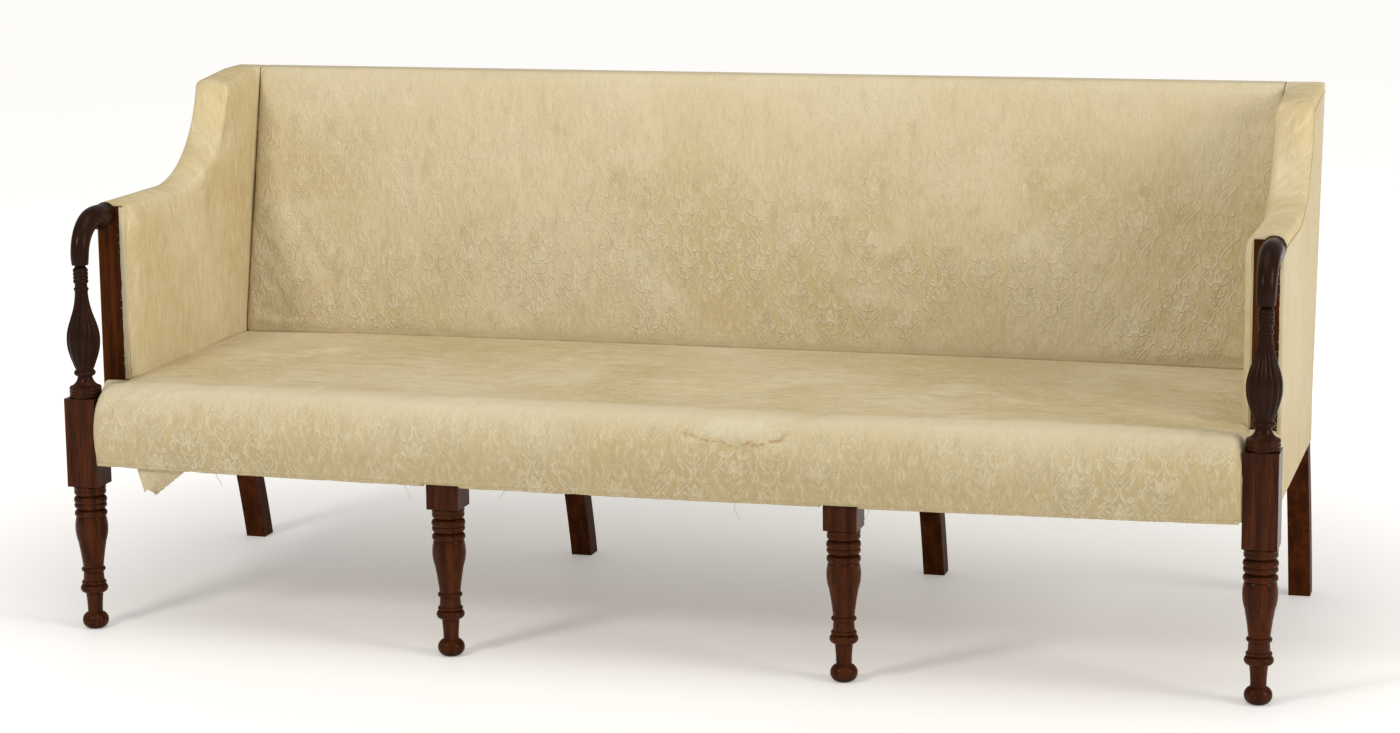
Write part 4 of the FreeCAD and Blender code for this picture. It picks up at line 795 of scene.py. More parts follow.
def rounded_stations(half, radius, dip, count):
    """Columns along a pad with rounded ends: x, how far the rounding turns in, and the place on the cloth."""
    ends = [(half - radius + radius * math.sin(a), dip * radius * (1 - math.cos(a)), half - radius + radius * a)
            for a in np.linspace(0, math.pi / 2, 7)[1:]]
    middle = np.linspace(-(half - radius), half - radius, count)
    return [(-x, d, -u) for x, d, u in reversed(ends)] + [(x, 0.0, x) for x in middle] + ends


seat_points, seat_flat = [], []
stations = rounded_stations(seat_half, SEAT_ROUND, 1, SEAT_COLUMNS)
for x, inset, u in stations:
    line = smooth(seat_path(x, inset), FRONT_ROWS)
    face = float(rail_front(min(abs(x), rail_end)))
    heel = [(seat_rear, z) for z in np.linspace(line[-1][1], seat_floor + CLEAR, 6)[1:]]
    sole = [(y, seat_floor + CLEAR) for y in np.linspace(seat_rear, face - CLEAR, 12)[1:]]
    toe = [(face - CLEAR, z) for z in np.linspace(seat_floor + CLEAR, rail_bottom, 6)[1:]]
    ring = np.vstack([line, heel, sole, toe])
    end_share = max(0, (abs(x) - END_ZONE) / (seat_half - END_ZONE))
    at_block = ramp(stile_front - 0.006 - ring[:, 0], 0.03) * end_share
    wide = x + math.copysign(rail_end - 0.0012 - seat_half, x) * at_block
    seat_points.append(np.column_stack([wide, ring]))
    seat_flat.append(np.column_stack([np.full(len(ring), u), lengths(ring)]))
seat_points, seat_flat = np.array(seat_points), np.array(seat_flat)
seat = cloth_mesh("seat_pad", seat_points, seat_flat, ring=True)
print("seat pad", seat_points.shape[0], "columns by", seat_points.shape[1], "rows")

# %% [markdown]
# ## Wear of the seat
# The top is lumpy with age, the roll is rubbed smooth, and the front below it is drawn into small upright
# puckers. Bump alone would leave the outline straight, so these are moved points: noise that is long along
# the cloth on the top, and tall on the front. The simulation then softens it.

# %% Wrinkle and settle the seat


def flat_places(points, flat):
    """For each point of a pad: its row, its place across and along the cloth, and that place as a point."""
    row = np.tile(np.arange(points.shape[1]), points.shape[0])
    u, v = flat[:, :, 0].ravel(), flat[:, :, 1].ravel()
    return row, u, v, np.column_stack([u, v, np.zeros(len(u))])


row, u, v, spread = flat_places(seat_points, seat_flat)
cover_row = row < FRONT_ROWS
top = ramp(v - 0.15, 0.06) * ramp(FRONT_ROWS - 3 - row, 8)
front = ramp(v, 0.02) * ramp(0.125 - v, 0.05)
fade = ramp(seat_half - np.abs(u), 0.03)
lumps = 0.0032 * ripple(spread, (0.30, 0.17, 1), 4.2) + 0.0016 * ripple(spread, (0.11, 0.07, 1), 9.1)
creases = 0.0016 * ripple(spread, (0.13, 0.017, 1), 2.7)
puckers = 0.0019 * ripple(spread, (0.019, 0.08, 1), 6.3) + 0.0015 * ripple(spread, (0.06, 0.13, 1), 1.9)
raise_points(seat, (top * (lumps + creases) + front * puckers) * fade * cover_row)
tacked = ~cover_row | (row < 2) | (row > FRONT_ROWS - 4) | (np.abs(u) > END_ZONE)
settle(seat, tacked, growth=0.007, cap=0.003, pressure=0.5)
dress(seat, "damask", silk_seat, "seat_cover", "seat_stuffing")
print("lumps of up to", round(1000 * np.abs(lumps).max(), 1), "mm on the seat")

# %% [markdown]
# ## Back
# A thinner pad on upright webbing. Its cover goes up the front and over the crest rail, and is tacked behind.
# It is made as the seat is, from one line with rounded ends, because its thickness falls towards the top and
# it has to meet the seat along the tuck.

# %% Build the back pad
BACK_ROUND = 0.014      # rounding of the pad's ends
BACK_COLUMNS = 271
BACK_ROWS = 104         # rows of the part that shows
BACK_SWELL = 0.009      # fullness half way up
FOOT_THICK, HEAD_THICK = 0.0238, 0.0121
BEHIND = 0.0045         # from the frame's front plane to the rear of the pad


def back_path(x, inset):
    """The cover's line from the seat up the front and over the crest rail, as (y, z)."""
    low = back_low[2]
    high = crest_top + COVER + GAP
    swell = BACK_SWELL * crown(x, back_half)
    line = [(back_low[1] + 0.004 + inset, low - 0.004 + REAR_RISE * seat_swell(x))]
    for share in np.linspace(0.04, 0.955, 9):
        z = low + share * (high - low)
        thick = FOOT_THICK + (HEAD_THICK - FOOT_THICK) * share + swell * math.sin(math.pi * share) - inset
        line.append((lean(z) - thick, z))
    head = lean(high)
    line += [(head - 0.0105 + inset, high - 0.009), (head - 0.0055 + inset, high - 0.0022)]
    line += [(head + y, high) for y in (0.001, 0.014, 0.028, STILE_DEPTH - 0.002)]
    return line


back_points, back_flat = [], []
for x, inset, u in rounded_stations(back_half, BACK_ROUND, 0.8, BACK_COLUMNS):
    under = crest_top + GAP
    tail = [(lean(crest_top) + STILE_DEPTH - 0.002, under)]
    tail += [(lean(crest_top) + y, under) for y in np.linspace(STILE_DEPTH - 0.008, -BEHIND, 8)]
    tail += [(lean(z) - BEHIND, z) for z in np.linspace(crest_top - 0.006, back_low[2] - 0.004, 30)]
    ring = np.vstack([smooth(back_path(x, inset), BACK_ROWS), tail])
    back_points.append(np.column_stack([np.full(len(ring), x), ring]))
    back_flat.append(np.column_stack([np.full(len(ring), u), lengths(ring)]))
back_points, back_flat = np.array(back_points), np.array(back_flat)
back = cloth_mesh("back_pad", back_points, back_flat, ring=True)
print("back pad", back_points.shape[0], "columns by", back_points.shape[1], "rows")

# %% [markdown]
# ## Wear of the back
# Low down, where backs have rubbed and the cloth is slack, it is drawn into upright creases; higher up only
# broad lumps are left. The same noise makes both, and its fine part fades with height.

# %% Wrinkle and settle the back
row, u, v, spread = flat_places(back_points, back_flat)
face = ramp(v, 0.03) * ramp(0.465 - v, 0.05) * (row < BACK_ROWS)
low_down = np.clip((0.30 - v) / 0.25, 0.25, 1)
fade = ramp(back_half - np.abs(u), 0.03)
lift = 0.0030 * ripple(spread, (0.34, 0.20, 1), 5.5)
lift += 0.0016 * low_down * ripple(spread, (0.028, 0.12, 1), 8.4)
lift += 0.0012 * low_down * ripple(spread, (0.013, 0.05, 1), 3.3)
raise_points(back, lift * face * fade)
settle(back, (row < 2) | (row > BACK_ROWS - 16), growth=0.004, cap=0.002, pressure=0.3)
dress(back, "damask", silk_back, "back_cover", "back_stuffing")
print("creases of up to", round(1000 * np.abs(lift).max(), 1), "mm on the back")

# %% [markdown]
# ## The sweep of the arms
# The arm's top runs level from its stile, sweeps up in an arc, and ends in a short nose at the wing. A curve
# could be drawn by eye; an arc and a few straight runs, eased at their corners, are what the rail was sawn to.

# %% Draw the line of the arm's top
ARM_FLAT = 0.218        # level part of the arm
SWEEP_RUN = 0.198       # length of the arm's sweep
WING_DROP = 0.015       # fall of the wing from the back to its nose
WING_NOSE = 0.011       # short upright nose above the sweep
EASE = 5                # points to each side over which a corner is eased
ARM_COLUMNS = 118


def arm_line():
    """The top of the arm's frame from the stile to the rear of the crest, as (y, z), with eased corners."""
    start = stile_front + ARM_FLAT
    rise = crest_top - WING_DROP - WING_NOSE - arm_top
    radius = (SWEEP_RUN ** 2 + rise ** 2) / (2 * rise)
    end = math.asin(SWEEP_RUN / radius)
    line = [(stile_front, arm_top)]
    line += [(start + radius * math.sin(a), arm_top + radius * (1 - math.cos(a)))
             for a in np.linspace(0, end, 60)]
    line += [(start + SWEEP_RUN + 0.005, crest_top - WING_DROP), (lean(crest_top), crest_top),
             (lean(crest_top) + STILE_DEPTH - 0.001, crest_top)]
    fine = even(line, 680)
    window = np.hanning(2 * EASE + 1)
    window /= window.sum()
    padded = np.vstack([np.repeat(fine[:1], EASE, 0), fine, np.repeat(fine[-1:], EASE, 0)])
    return np.column_stack([np.convolve(padded[:, k], window, "valid") for k in range(2)])


def outward(line):
    """Directions straight out of a line in (y, z)."""
    run = np.gradient(line, axis=0)
    run /= np.linalg.norm(run, axis=1)[:, None]
    return np.column_stack([-run[:, 1], run[:, 0]])


top_line = even(arm_line(), ARM_COLUMNS)
out = outward(top_line)
print("arms along", round(lengths(top_line)[-1], 3), "m of rail")

# %% [markdown]
# ## Section of an arm
# Each arm is padded on its inside. The cover rolls over the top rail, follows its sweep up to the back, and
# turns down a little on the outside, where the outer panel is sewn to it. A bevelled curve would give the
# roll but not the pad under it, so a closed section is drawn square to the top line at each column.

# %% Draw one section of an arm
ARM_ROLL = 0.022        # how far down the inside the top's rounding starts
ARM_CROWN = 0.004       # how far the top stands over its rail
ARM_EDGE = 0.007        # rounding of the outer edge
INSIDE_ROWS, ROLL_ROWS, TOP_ROWS, EDGE_ROWS = 43, 9, 11, 6
TURN_DOWN = (0.009, 0.0135)     # rows on the outside, under the top
BEHIND_ROLL = 40        # points of the seat's line that lie before the top of its roll
arm_face = inside_low[0]
pad_back = arm_in - 0.001
pad_low = inside_low[2]
top_x = arm_out + GAP + COVER
beside = smooth(seat_path(arm_face, 0.0), 200)[BEHIND_ROLL:]


def arm_ring(n):
    """One closed section of the arm's pad and cover at a column, as rows of (x, y, z), and its flat map."""
    head, up = top_line[n], out[n]
    on_rail = head + GAP * up
    rear = lean(crest_top) - 0.006
    inner = head[0] < rear
    ease = math.sin(0.5 * math.pi * min(1.0, (head[0] - stile_front) / 0.035))
    face_x = pad_back - 0.003 - (pad_back - 0.003 - arm_face) * ease
    share = (head[0] - stile_front) / (rear - stile_front)
    foot_y = stile_front + 0.0005 + share * (lean(pad_low) - 0.006 - stile_front)
    foot = np.array([foot_y, np.interp(foot_y, beside[:, 0], beside[:, 1]) - 0.004])
    base = head - ARM_ROLL * (head - foot) / np.linalg.norm(head - foot)
    rows = []
    if inner:
        for t in np.linspace(0, 1, INSIDE_ROWS + 1)[:-1]:
            spot = foot + (base - foot) * t
            rows.append((face_x + 0.0012 * math.sin(math.pi * t) - 0.0012, spot, spot))
    else:
        rows += [(arm_face, on_rail, on_rail)] * INSIDE_ROWS
    bend = pad_back - (face_x if inner else arm_face)
    turn = 0.5 * (ARM_ROLL + pad_back - arm_face)
    for a in np.linspace(0, math.pi / 2, ROLL_ROWS):
        if inner:
            spot = base + (head + (GAP + COVER) * up - base) * math.sin(a)
        else:
            spot = head + (GAP + COVER * math.sin(a)) * up
        rows.append((pad_back - bend + bend * (1 - math.cos(a)), spot, head + (turn * a - ARM_ROLL) * up))
    reach = turn * math.pi / 2 - ARM_ROLL
    proud = ARM_CROWN * min(1.0, max(0.0, (rear - head[0]) / 0.03))
    edge = ARM_EDGE + proud
    for s in np.linspace(0, 1, TOP_ROWS + 1)[1:]:
        x = pad_back + s * (top_x - edge - pad_back)
        swell = proud * math.sin(0.75 * math.pi * s) / math.sin(0.75 * math.pi) ** s
        rows.append((x, head + (GAP + COVER + swell) * up, head + (reach + x - pad_back) * up))
    reach += top_x - edge - pad_back
    for a in np.linspace(0, math.pi / 2, EDGE_ROWS + 1)[1:]:
        spot = head + (GAP + COVER + proud - edge * (1 - math.cos(a))) * up
        rows.append((top_x - edge + edge * math.sin(a), spot, head + (reach + edge * a) * up))
    reach += edge * math.pi / 2
    for d in TURN_DOWN:
        rows.append((top_x, head + (GAP - d) * up, head + (reach + d) * up))
    last = rows[-1][2]
    rows.append((arm_out + GAP, head + (GAP - TURN_DOWN[-1]) * up, last))
    rows.append((arm_out + GAP, on_rail, last))
    rows += [(pad_back + s * (arm_out - pad_back), on_rail, last) for s in (0.66, 0.33)]
    rows.append((pad_back, on_rail, last))
    for t in np.linspace(1, 0, 16)[1:]:
        rows.append((pad_back, foot + (head - foot) * t if inner else on_rail, last))
    points = np.array([(x, *spot) for x, spot, _ in rows])
    return points, np.array([flat for _, _, flat in rows])


rings = [arm_ring(n) for n in range(ARM_COLUMNS)]
print(len(rings), "sections of", len(rings[0][0]), "points")

# %% [markdown]
# ## Arms
# Both arms share their sections, mirrored. Their covers are tighter than the seat's, so they get only slight
# waves before they settle. At the wing the pad runs out to nothing, and its points are joined
# there, so that no face is left without an area.

# %% Build the arms
ARM_COVER_ROWS = INSIDE_ROWS + ROLL_ROWS + TOP_ROWS + EDGE_ROWS + len(TURN_DOWN)
FACE_ROWS, FACE_COLUMNS = 50, 95    # where the inside waves
FREE_COLUMNS = 84                   # columns that settle


def close_up(piece):
    """Joins the points of a pad that lie on each other, where its layers run out."""
    work = bmesh.new()
    work.from_mesh(piece.data)
    bmesh.ops.remove_doubles(work, verts=work.verts, dist=0.00002)
    bmesh.ops.dissolve_degenerate(work, edges=work.edges, dist=0.00001)
    work.to_mesh(piece.data)
    work.free()


for name, sign, seed in (("right", 1, 3.7), ("left", -1, 8.2)):
    arm_points = np.array([points for points, _ in rings]) * (sign, 1, 1)
    arm_flat = np.array([flat for _, flat in rings]) + (0.03 * sign, 0.05)
    arm = cloth_mesh(f"arm_pad_{name}", arm_points, arm_flat, ring=True)
    spots = points_of(arm)
    row = np.tile(np.arange(arm_points.shape[1]), ARM_COLUMNS)
    column = np.repeat(np.arange(ARM_COLUMNS), arm_points.shape[1])
    face = (row < FACE_ROWS) * ramp(row, 6) * ramp(column, 8) * ramp(FACE_COLUMNS - column, 8)
    lift = 0.0016 * ripple(spots, (1, 0.16, 0.2), seed) + 0.0006 * ripple(spots, (1, 0.03, 0.09), seed + 3)
    raise_points(arm, lift * face)
    tacked = (row < 2) | (row > ARM_COVER_ROWS - 4) | (column < 2) | (column > FREE_COLUMNS)
    settle(arm, tacked, growth=0.008, cap=0.0025, pressure=0.3)
    close_up(arm)
    dress(arm, "damask", silk_arm, f"inside_arm_cover_{name}", f"arm_stuffing_{name}")
    print(arm.name, "with", len(arm.data.vertices), "points")

# %% [markdown]
# ## Seams and threads
# A sewn seam, a hanging thread and a frayed end are all thin round strands. A curve with a bevel would draw
# one; several strands are gathered into one mesh here, so that a whole fringe is a single piece.

# %% Write the strand helper
STRAND_MAP = 0.004      # width of a strand's side on its flat map


def tube(name, lines, radius, material, sides=7):
    """Thin round strands, one along each line of points, as one piece."""
    vertices, faces, places = [], [], []
    turn = [2 * math.pi * k / sides for k in range(sides)]
    for line in lines:
        line = np.asarray(line, float)
        along = np.gradient(line, axis=0)
        along /= np.linalg.norm(along, axis=1)[:, None]
        steep = np.abs(along[:, 2:]) > 0.8
        side = np.cross(along, np.where(steep, (0.0, 1.0, 0.0), (0.0, 0.0, 1.0)))
        side /= np.linalg.norm(side, axis=1)[:, None]
        other = np.cross(along, side)
        far = lengths(line)
        base, last = len(vertices), len(line) - 1
        for n, (spot, a, b) in enumerate(zip(line, side, other)):
            thin = radius * (1.0 if 0 < n < last else 0.35)
            vertices += [tuple(spot + thin * (math.cos(t) * a + math.sin(t) * b)) for t in turn]
        for n in range(last):
            here = base + n * sides
            for k in range(sides):
                m = (k + 1) % sides
                faces.append([here + k, here + m, here + sides + m, here + sides + k])
                left, right = STRAND_MAP * k, STRAND_MAP * k + STRAND_MAP
                places += [(left, far[n]), (right, far[n]), (right, far[n + 1]), (left, far[n + 1])]
        faces.append([base + k for k in reversed(range(sides))])
        faces.append([base + last * sides + k for k in range(sides)])
        places += [(0, 0)] * (2 * sides)
    return dress(new_piece(name, vertices, faces, places), "damask", material)


print("strands can be drawn")

# %% [markdown]
# ## Outside of the arms
# The outside of each arm is a single stretched cloth, sewn along the top and tacked under the rail. Nothing
# pads it, so it dips a little between the frame members. In front of the stile a strip goes up over the side
# rail and in to the seat. One plane cut to shape would lie dead flat, so both are grids that dip and wave.

# %% Build the outside of the arms
COLUMNS, ROWS = 96, 56
RAIL_COLUMNS, RAIL_ROWS = 24, 46    # the strip over the side rail
SHEET = 0.001           # thickness of a tight cloth
side_low = outside_low[2]
block_rear = outside_low[1]
rail_x = arm_out + GAP + 0.0009
edge_line = even(arm_line()[2:-2], COLUMNS)
edge_out = outward(edge_line)


def panel(name, points, flat, seed, dip):
    """A stretched cloth through a grid of points, with a shallow dip and the waves of its pull."""
    columns, rows = points.shape[:2]
    i, j = np.meshgrid(np.linspace(0, 1, columns), np.linspace(0, 1, rows), indexing="ij")
    bow = np.minimum(1, 6 * np.minimum(i, 1 - i)) * np.minimum(1, 6 * np.minimum(j, 1 - j))
    sheet_uv = np.concatenate([flat.reshape(-1, 2), np.zeros((columns * rows, 1))], 1)
    waves = 0.5 * ripple(sheet_uv, (0.12, 0.3, 1), seed) + 0.25 * ripple(sheet_uv, (0.03, 0.11, 1), seed + 4)
    inward = (-1 + waves.reshape(columns, rows)) * 0.5 * bow
    return cloth_mesh(name, points + inward[:, :, None] * np.asarray(dip), flat)


def outside_arm(name, sign, seed):
    """The large panel, from the seam under the arm's top down to the side rail, with its sewn seam."""
    grid = np.zeros((COLUMNS, ROWS, 3))
    up = np.linspace(0, 1, ROWS)[:, None]
    for n in range(COLUMNS):
        head = edge_line[n] - 0.0065 * edge_out[n]
        share = n / (COLUMNS - 1)
        foot = np.array([stile_front + 0.001 + share * (knee_rear - 0.001 - stile_front), side_low])
        line = foot + (head - foot) * up
        rear_edge = np.maximum(knee_rear, lean(line[:, 1]) + STILE_DEPTH)
        line[:, 0] += share ** 6 * (rear_edge - (foot + (edge_line[-1] - foot) * up)[:, 0])
        grid[n] = np.column_stack([np.full(ROWS, sign * (arm_out + GAP + 0.0012)), line])
    piece = panel(f"outside_arm_{name}", grid, grid[:, :, 1:] + (0.02, 0.07), seed, (sign * 0.0016, 0, 0))
    seam = np.column_stack([np.full(COLUMNS, sign * (arm_out + 0.0021)), edge_line - 0.0142 * edge_out])
    welt = tube(f"arm_seam_{name}", [even(seam, 150)], 0.0014, silk_arm)
    dress(piece, "damask", silk_outside, f"outside_arm_cover_{name}")
    cut_cloth(piece)
    thicken(piece, SHEET, -sign)


def outside_rail(name, sign, seed):
    """The strip in front of the stile, up the side rail and in over its edge to the seat."""
    grid, flat = [], []
    for n, y in enumerate(np.linspace(block_rear + 0.0005, stile_front + 0.004, RAIL_COLUMNS)):
        top = rail_bottom + 0.094 + 0.022 * (n / (RAIL_COLUMNS - 1)) ** 2
        at_seat = np.interp(y, beside[:, 0], beside[:, 1]) - 0.006
        line = [(rail_x, z) for z in np.linspace(side_low, top - 0.012, 9)]
        line += [(rail_x - 0.0028, top - 0.0035), (rail_x - 0.011, top),
                 (seat_half + 0.01, 0.4 * top + 0.6 * at_seat), (seat_half - 0.007, at_seat)]
        line = smooth(line, RAIL_ROWS)
        before_stile = np.where(line[:, 0] < arm_out, min(y, stile_front - 0.0004), y)
        grid.append(np.column_stack([sign * line[:, 0], before_stile, line[:, 1]]))
        flat.append(np.column_stack([np.full(RAIL_ROWS, y), side_low + lengths(line)]))
    flat = np.array(flat) + (0.02, 0.07)
    strip = panel(f"outside_rail_{name}", np.array(grid), flat, seed, (sign * 0.0008, 0, 0))
    dress(strip, "damask", silk_outside, f"outside_arm_cover_{name}")
    cut_cloth(strip)
    thicken(strip, SHEET, -sign)


for name, sign, seed in (("right", 1, 2.1), ("left", -1, 6.6)):
    outside_arm(name, sign, seed)
    outside_rail(name, sign, seed + 1)

# %% [markdown]
# ## Outside of the back
# One cloth covers the whole back from the crest down over the knee of the rear legs. It is a grid too: its
# line follows the lean of the stiles and then drops straight, and it is stretched over the open bays.

# %% Build the outside of the back
REAR_COLUMNS, REAR_ROWS = 200, 70
rear_line = smooth([(knee_rear, side_low), (knee_rear, side_low + 0.04), (knee_rear + 0.001, side_low + 0.07),
                    (lean(0.45) + STILE_DEPTH, 0.45), (lean(0.66) + STILE_DEPTH, 0.66),
                    (lean(crest_top - 0.001) + STILE_DEPTH, crest_top - 0.001)], REAR_ROWS)
rear_x = np.linspace(-arm_out, arm_out, REAR_COLUMNS)
grid = np.zeros((REAR_COLUMNS, REAR_ROWS, 3))
grid[:, :, 0] = rear_x[:, None]
grid[:, :, 1:] = rear_line[None] + (0.0009, 0)
flat = np.stack(np.broadcast_arrays(rear_x[:, None], lengths(rear_line)[None, :]), -1)
outside_back = panel("outside_back", grid, flat, 4.9, (0, 0.0022, 0))
dress(outside_back, "damask", silk_outside, "outside_back_cover")
cut_cloth(outside_back)
thicken(outside_back, SHEET, 0)

# %% [markdown]
# ## Lower edge of the front
# The seat's cover turns under the rail between the legs and is tacked there. Its fold has gone uneven, and
# some threads have come out of it. A straight fold would look new, so the line of the fold drops by noise,
# and each thread falls from it in a small wave.

# %% Build the hem and its threads
HEM_REACH = hem_high[1] - rail_mid
HEM_ROWS = 18
HEM_STEP = 0.006
HEM_SHEET = 0.0009      # thickness of the worn edge
POST_ROOM = 0.003       # between the hem and an inner leg
THREADS = {"left": (-0.717, -0.385), "middle": (-0.223, 0.164), "right": (0.370,)}
inner_post_low, inner_post_high = span("front_leg_inner_right")
hem_bays = (("left", -(rail_end - 0.004), -inner_post_high[0] - POST_ROOM),
            ("middle", -inner_post_low[0] + POST_ROOM, inner_post_low[0] - POST_ROOM),
            ("right", inner_post_high[0] + POST_ROOM, rail_end - 0.004))
for bay, start, end in hem_bays:
    stations = np.linspace(start, end, int((end - start) / HEM_STEP))
    droop = 0.0016 + 0.0012 * ripple_along(stations, 0.035, 2.2) + 0.0007 * ripple_along(stations, 0.009, 7.7)
    under = rail_bottom - 0.0011
    grid = []
    for x, low in zip(stations, droop):
        face = float(rail_front(x))
        line = smooth([(face - 0.0056, rail_bottom + 0.004), (face - 0.0054, rail_bottom),
                       (face - 0.0046, under - low), (face - 0.0015, under - 0.8 * low), (face + 0.003, under),
                       (face + 0.010, under), (face + HEM_REACH, under)], HEM_ROWS)
        grid.append(np.column_stack([np.full(HEM_ROWS, x), line]))
    grid = np.array(grid)
    flat = np.stack([grid[:, :, 0], 0.02 - np.array([lengths(column) for column in grid])], -1)
    hem = cloth_mesh(f"front_hem_{bay}", grid, flat)
    dress(hem, "damask", silk_seat, "front_hem")
    strands = []
    for x in THREADS[bay]:
        fall = np.linspace(0, 0.022 + 0.006 * math.sin(9 * x), 12)
        wave = 0.004 * np.sin(fall * 160 + 20 * x)
        strands.append(np.column_stack([x + wave, rail_front(x) - 0.004 + 0.3 * wave,
                                        rail_bottom - 0.002 - fall]))
    threads = tube(f"hem_threads_{bay}", strands, 0.0004, silk_seat, 5)
    cut_cloth(hem)
    thicken(hem, HEM_SHEET, 0)

# %% [markdown]
# ## Loose corner
# At one end a corner of cloth has come away from its tacks and hangs down to a point, with a few soft folds.
# It is too small to be worth a simulation: a narrowing grid with waves that grow downward looks the same.

# %% Hang the loose corner
FLAP_WIDE = 0.092
flap_low, flap_high = span("loose_cover_flap")
flap_drop = flap_high[2] - flap_low[2]
grid = []
for along in np.linspace(0, 1, 30):
    column = []
    for share in np.linspace(0, 1, 22):
        wide = FLAP_WIDE * (1 - 0.80 * share - 0.02 * share * math.sin(40 * share))
        x = flap_low[0] + FLAP_WIDE * 0.16 * share + along * wide
        fold = 0.0048 * share * math.sin(2 * math.pi * along) + 0.002 * share * math.sin(11 * along + 2)
        drop = flap_drop * share * (0.9 + 0.1 * math.sin(3 + 5 * along))
        column.append((x, float(rail_front(x)) + 0.0045 - fold, flap_high[2] - 0.0002 - drop))
    grid.append(column)
grid = np.array(grid)
flat = np.stack([grid[:, :, 0], -np.array([lengths(column) for column in grid])], -1)
flap = cloth_mesh("loose_flap", grid, flat)
dress(flap, "damask", silk_outside, "loose_cover_flap")
cut_cloth(flap)
thicken(flap, HEM_SHEET, 0)

# %% [markdown]
# ## Raw edges at the stiles
# Old repairs left the arm covers cut short along the stiles: a narrow pale strip with a frayed edge runs down
# the inner front edge of one stile and down the outer edge of the other. The strip's width wanders by noise,
# and short strands stand out of it, because a clean strip would read as a trim.

# %% Build the raw edges
EDGE_POINTS = 130
EDGE_SHEET = 0.0006
FRAY_EVERY = 7
for name, sign, side in (("left", -1, "inner"), ("right", 1, "outer")):
    inner = side == "inner"
    low = seat_path(arm_in, 0.0)[len(SEAT_FRONT)][1] - 0.004 if inner else stile_low[2] + 0.04
    tuck = 0.0048 if inner else 0.0014
    root = arm_in - tuck if inner else arm_out + tuck
    inward = 1 if inner else -1
    heights = np.linspace(low, arm_top - 0.001, EDGE_POINTS)
    frayed = 0.0052 + 0.0011 * ripple_along(heights, 0.02, 3.1 + sign)
    frayed += 0.0006 * ripple_along(heights, 0.004, 8.8 + sign)
    grid = np.zeros((EDGE_POINTS, 6, 3))
    for n, (z, wide) in enumerate(zip(heights, frayed)):
        grid[n, :, 0] = sign * (root + inward * np.linspace(0, wide + tuck, 6))
        grid[n, :, 1] = stile_front - 0.0011 + np.array([0.0012, 0.0003, -0.0003, -0.0003, 0, 0])
        grid[n, :, 2] = z
    flat = np.stack([grid[:, :, 0] - grid[:, :1, 0], grid[:, :, 2]], -1) * (1.6, 1)
    strip = cloth_mesh(f"raw_edge_{side}_{name}", grid, flat)
    dress(strip, "damask", silk_outside)
    strands = []
    t = np.linspace(0, 1, 5)
    for n in range(4, EDGE_POINTS - 4, FRAY_EVERY):
        reach = 0.0022 + 0.0016 * math.sin(12.7 * n)
        strands.append(np.column_stack([
            sign * (root + inward * (frayed[n] + tuck + reach * t)), stile_front - 0.0011 - 0.0008 * t,
            heights[n] - 0.003 * t * math.sin(3.3 * n)]))
    fray = tube(f"fray_{side}_{name}", strands, 0.00025, silk_outside, 4)
    cut_cloth(strip)
    thicken(strip, EDGE_SHEET, 0)

# %% [markdown]
# ## Jute
# Webbing and hessian are both plain jute, coarse enough for single threads to show. A picture of sacking would
# do; two crossed waves give the same weave, at a spacing that can be set for each.

# %% Make the jute


def coarse(name, dark, light, threads):
    """A coarse plain weave of jute."""
    finish = Finish(name)
    cloth = finish.add("ShaderNodeUVMap", uv_map="cloth").outputs["UV"]
    weave = None
    for direction in ("X", "Y"):
        band = finish.add("ShaderNodeTexWave", wave_type="BANDS", bands_direction=direction)
        finish.put(band.inputs["Vector"], cloth)
        band.inputs["Scale"].default_value = threads
        band.inputs["Distortion"].default_value = 0.8
        weave = band.outputs["Fac"] if weave is None else finish.math("MAXIMUM", weave, band.outputs["Fac"])
    tone = finish.cloud(cloth, 35.0, 4.0, 0.6)
    colour = finish.blend(finish.share(tone, 0.3, 0.7), dark, light)
    colour = finish.blend(finish.share(weave, 0.2, 0.8, 0.55, 0.0), colour, [0.45 * c for c in dark])
    finish.set(Base_Color=colour, Roughness=finish.share(tone, 0.2, 0.8, 0.8, 0.95), Specular_IOR_Level=0.1)
    finish.bump(weave, 0.0006, 0.7)
    return finish.material


jute = coarse("jute_webbing", (0.27, 0.185, 0.095), (0.40, 0.29, 0.16), 120.0)
sacking = coarse("hessian", (0.30, 0.21, 0.11), (0.43, 0.32, 0.185), 190.0)

print("jute for the webbing and the hessian")

# %% [markdown]
# ## Webbing
# Jute straps are stretched across the seat and the back and woven over and under each other. They show only
# from below and behind, but they hold the whole seat. The frame has them as plain bars; each bar's box is
# found from its points, and a strap that rises and dips over its neighbours is laid in its place.

# %% Weave the webbing
WEB = 0.0015            # height of one layer
WEB_SHEET = 0.0012      # thickness of a strap
STRAP_STEP, STRAP_ROWS = 0.006, 9


def strap_places(node, axis):
    """The box of each strap of a node, in order along one axis: points that share an edge are one strap."""
    spots = np.array([tuple(nodes[node].matrix_world @ v.co) for v in nodes[node].data.vertices])
    _, point = np.unique(np.round(spots, 5), axis=0, return_inverse=True)
    point = point.ravel()
    ends = point[np.array([tuple(edge.vertices) for edge in nodes[node].data.edges])]
    group = np.arange(point.max() + 1)
    joined = False
    while not joined:
        least = group[ends].min(1)
        before = group.copy()
        np.minimum.at(group, ends[:, 0], least)
        np.minimum.at(group, ends[:, 1], least)
        joined = np.array_equal(before, group)
    boxes = [(spots[group[point] == g].min(0), spots[group[point] == g].max(0)) for g in np.unique(group)]
    return sorted(boxes, key=lambda box: box[0][axis])


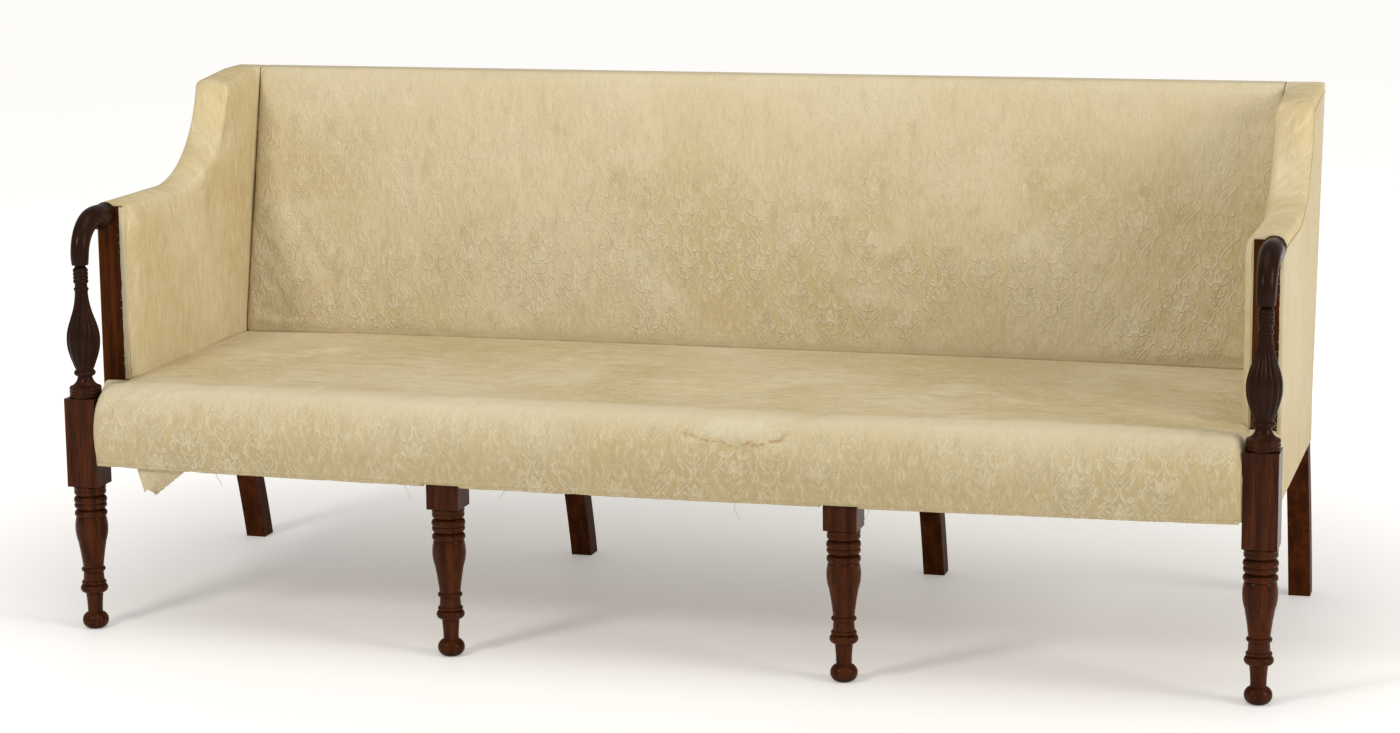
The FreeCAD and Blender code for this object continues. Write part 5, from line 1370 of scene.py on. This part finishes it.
def strap(low, high, run, across, level):
    """A strap along one axis, as a grid and its flat map. level gives its height over the frame."""
    along = np.linspace(low[run], high[run], max(20, int((high[run] - low[run]) / STRAP_STEP)))
    wide = np.linspace(low[across], high[across], STRAP_ROWS)
    grid = np.zeros((len(along), STRAP_ROWS, 3))
    grid[:, :, run] = along[:, None]
    grid[:, :, across] = wide[None]
    grid[:, :, 3 - run - across] = np.array([level(a) for a in along])[:, None]
    return grid, np.stack(np.broadcast_arrays(wide[None] - wide[0], (along - along[0])[:, None]), -1)


def woven(places, over_first, low_level, high_level):
    """Height along a strap that passes over and under the straps at the given places by turns."""
    def level(spot):
        height = low_level
        for n, (start, end) in enumerate(places):
            middle, half = (start + end) / 2, (end - start) / 2
            if (n % 2 == 0) == over_first:
                share = np.clip((half + 0.03 - abs(spot - middle)) / 0.026, 0, 1)
                height += (high_level - low_level) * share * share * (3 - 2 * share)
        return height
    return level


def lay_straps(part, kind, places, others, run, across, levels):
    """Lays one set of straps, woven by turns with the others. levels: the heights under and over them."""
    for n, (low, high) in enumerate(places):
        level = woven([(a[run], b[run]) for a, b in others], n % 2 == 0, *levels)
        grid, flat = strap(low, high, run, across, level)
        if part == "back":
            grid = np.stack([grid[:, :, 0], lean(grid[:, :, 2]) - grid[:, :, 1], grid[:, :, 2]], -1)
        piece = cloth_mesh(f"{part}_strap_{kind}_{n + 1}", grid, flat)
        dress(piece, "webbing", jute, f"{part}_webbing_{kind}")
        cut_cloth(piece)
        thicken(piece, WEB_SHEET, 0)


cross = strap_places("seat_webbing_cross", 0)
long_straps = strap_places("seat_webbing_long", 1)
rail_top = min(low[2] for low, _ in cross)
under, over = rail_top + WEB / 2, rail_top + 1.5 * WEB
lay_straps("seat", "cross", cross, long_straps, 1, 0, (under, over))
lay_straps("seat", "long", long_straps, cross, 0, 1, (over, under))
upright = strap_places("back_webbing_upright", 0)
level_straps = strap_places("back_webbing_level", 2)
under, over = WEB / 2, 1.5 * WEB
lay_straps("back", "upright", upright, level_straps, 2, 0, (under, over))
lay_straps("back", "level", level_straps, upright, 0, 2, (over, under))
print(len(cross) + len(long_straps), "straps in the seat,", len(upright) + len(level_straps), "in the back")

# %% [markdown]
# ## Hessian
# Hessian lies on the webbing and inside the arms, and carries the stuffing. It is stretched flat, so each
# sheet is one grid in its frame: bowed with the front rail, leaning with the back, swept with the arms.

# %% Stretch the hessian
HESSIAN_SHEET = 0.0008


def hessian(name, columns, node):
    """A sheet of hessian through a grid of points."""
    grid = np.array(columns)
    flat = grid[:, :, [k for k in range(3) if np.ptp(grid[:, :, k]) > 0.2][:2]]
    piece = cloth_mesh(name, grid, flat)
    dress(piece, "hessian", sacking, node)
    cut_cloth(piece)
    thicken(piece, HESSIAN_SHEET, 0)


hessian_mid = (hessian_low[2] + hessian_high[2]) / 2
columns = []
for x in np.linspace(hessian_low[0], hessian_high[0], 120):
    front = float(rail_front(x)) + hessian_low[1] - rail_mid
    columns.append([(x, y, hessian_mid + 0.0001 * math.sin(40 * x) * math.sin(30 * y))
                    for y in np.linspace(front, hessian_high[1], 40)])
hessian("seat_sacking", columns, "seat_hessian")
low, high = span("back_hessian")
columns = [[(x, lean(z) - 2 * WEB - 0.0006, z) for z in np.linspace(low[2], high[2], 40)]
           for x in np.linspace(low[0], high[0], 120)]
hessian("back_sacking", columns, "back_hessian")
for name, sign in (("right", 1), ("left", -1)):
    low, high = span(f"arm_hessian_{name}")
    columns = []
    heads = [top_line[n] - 0.008 * out[n] for n in range(ARM_COLUMNS)]
    heads = [head for head in heads if low[1] <= head[0] <= lean(crest_top) - 0.012]
    for head in heads:
        share = (head[0] - heads[0][0]) / (heads[-1][0] - heads[0][0])
        foot = heads[0][0] + share * (lean(low[2]) - 0.012 - heads[0][0])
        columns.append([(sign * (arm_in - 0.0005), foot + t * (head[0] - foot),
                         low[2] + t * (head[1] - low[2])) for t in np.linspace(0, 1, 30)])
    hessian(f"arm_sacking_{name}", columns, f"arm_hessian_{name}")
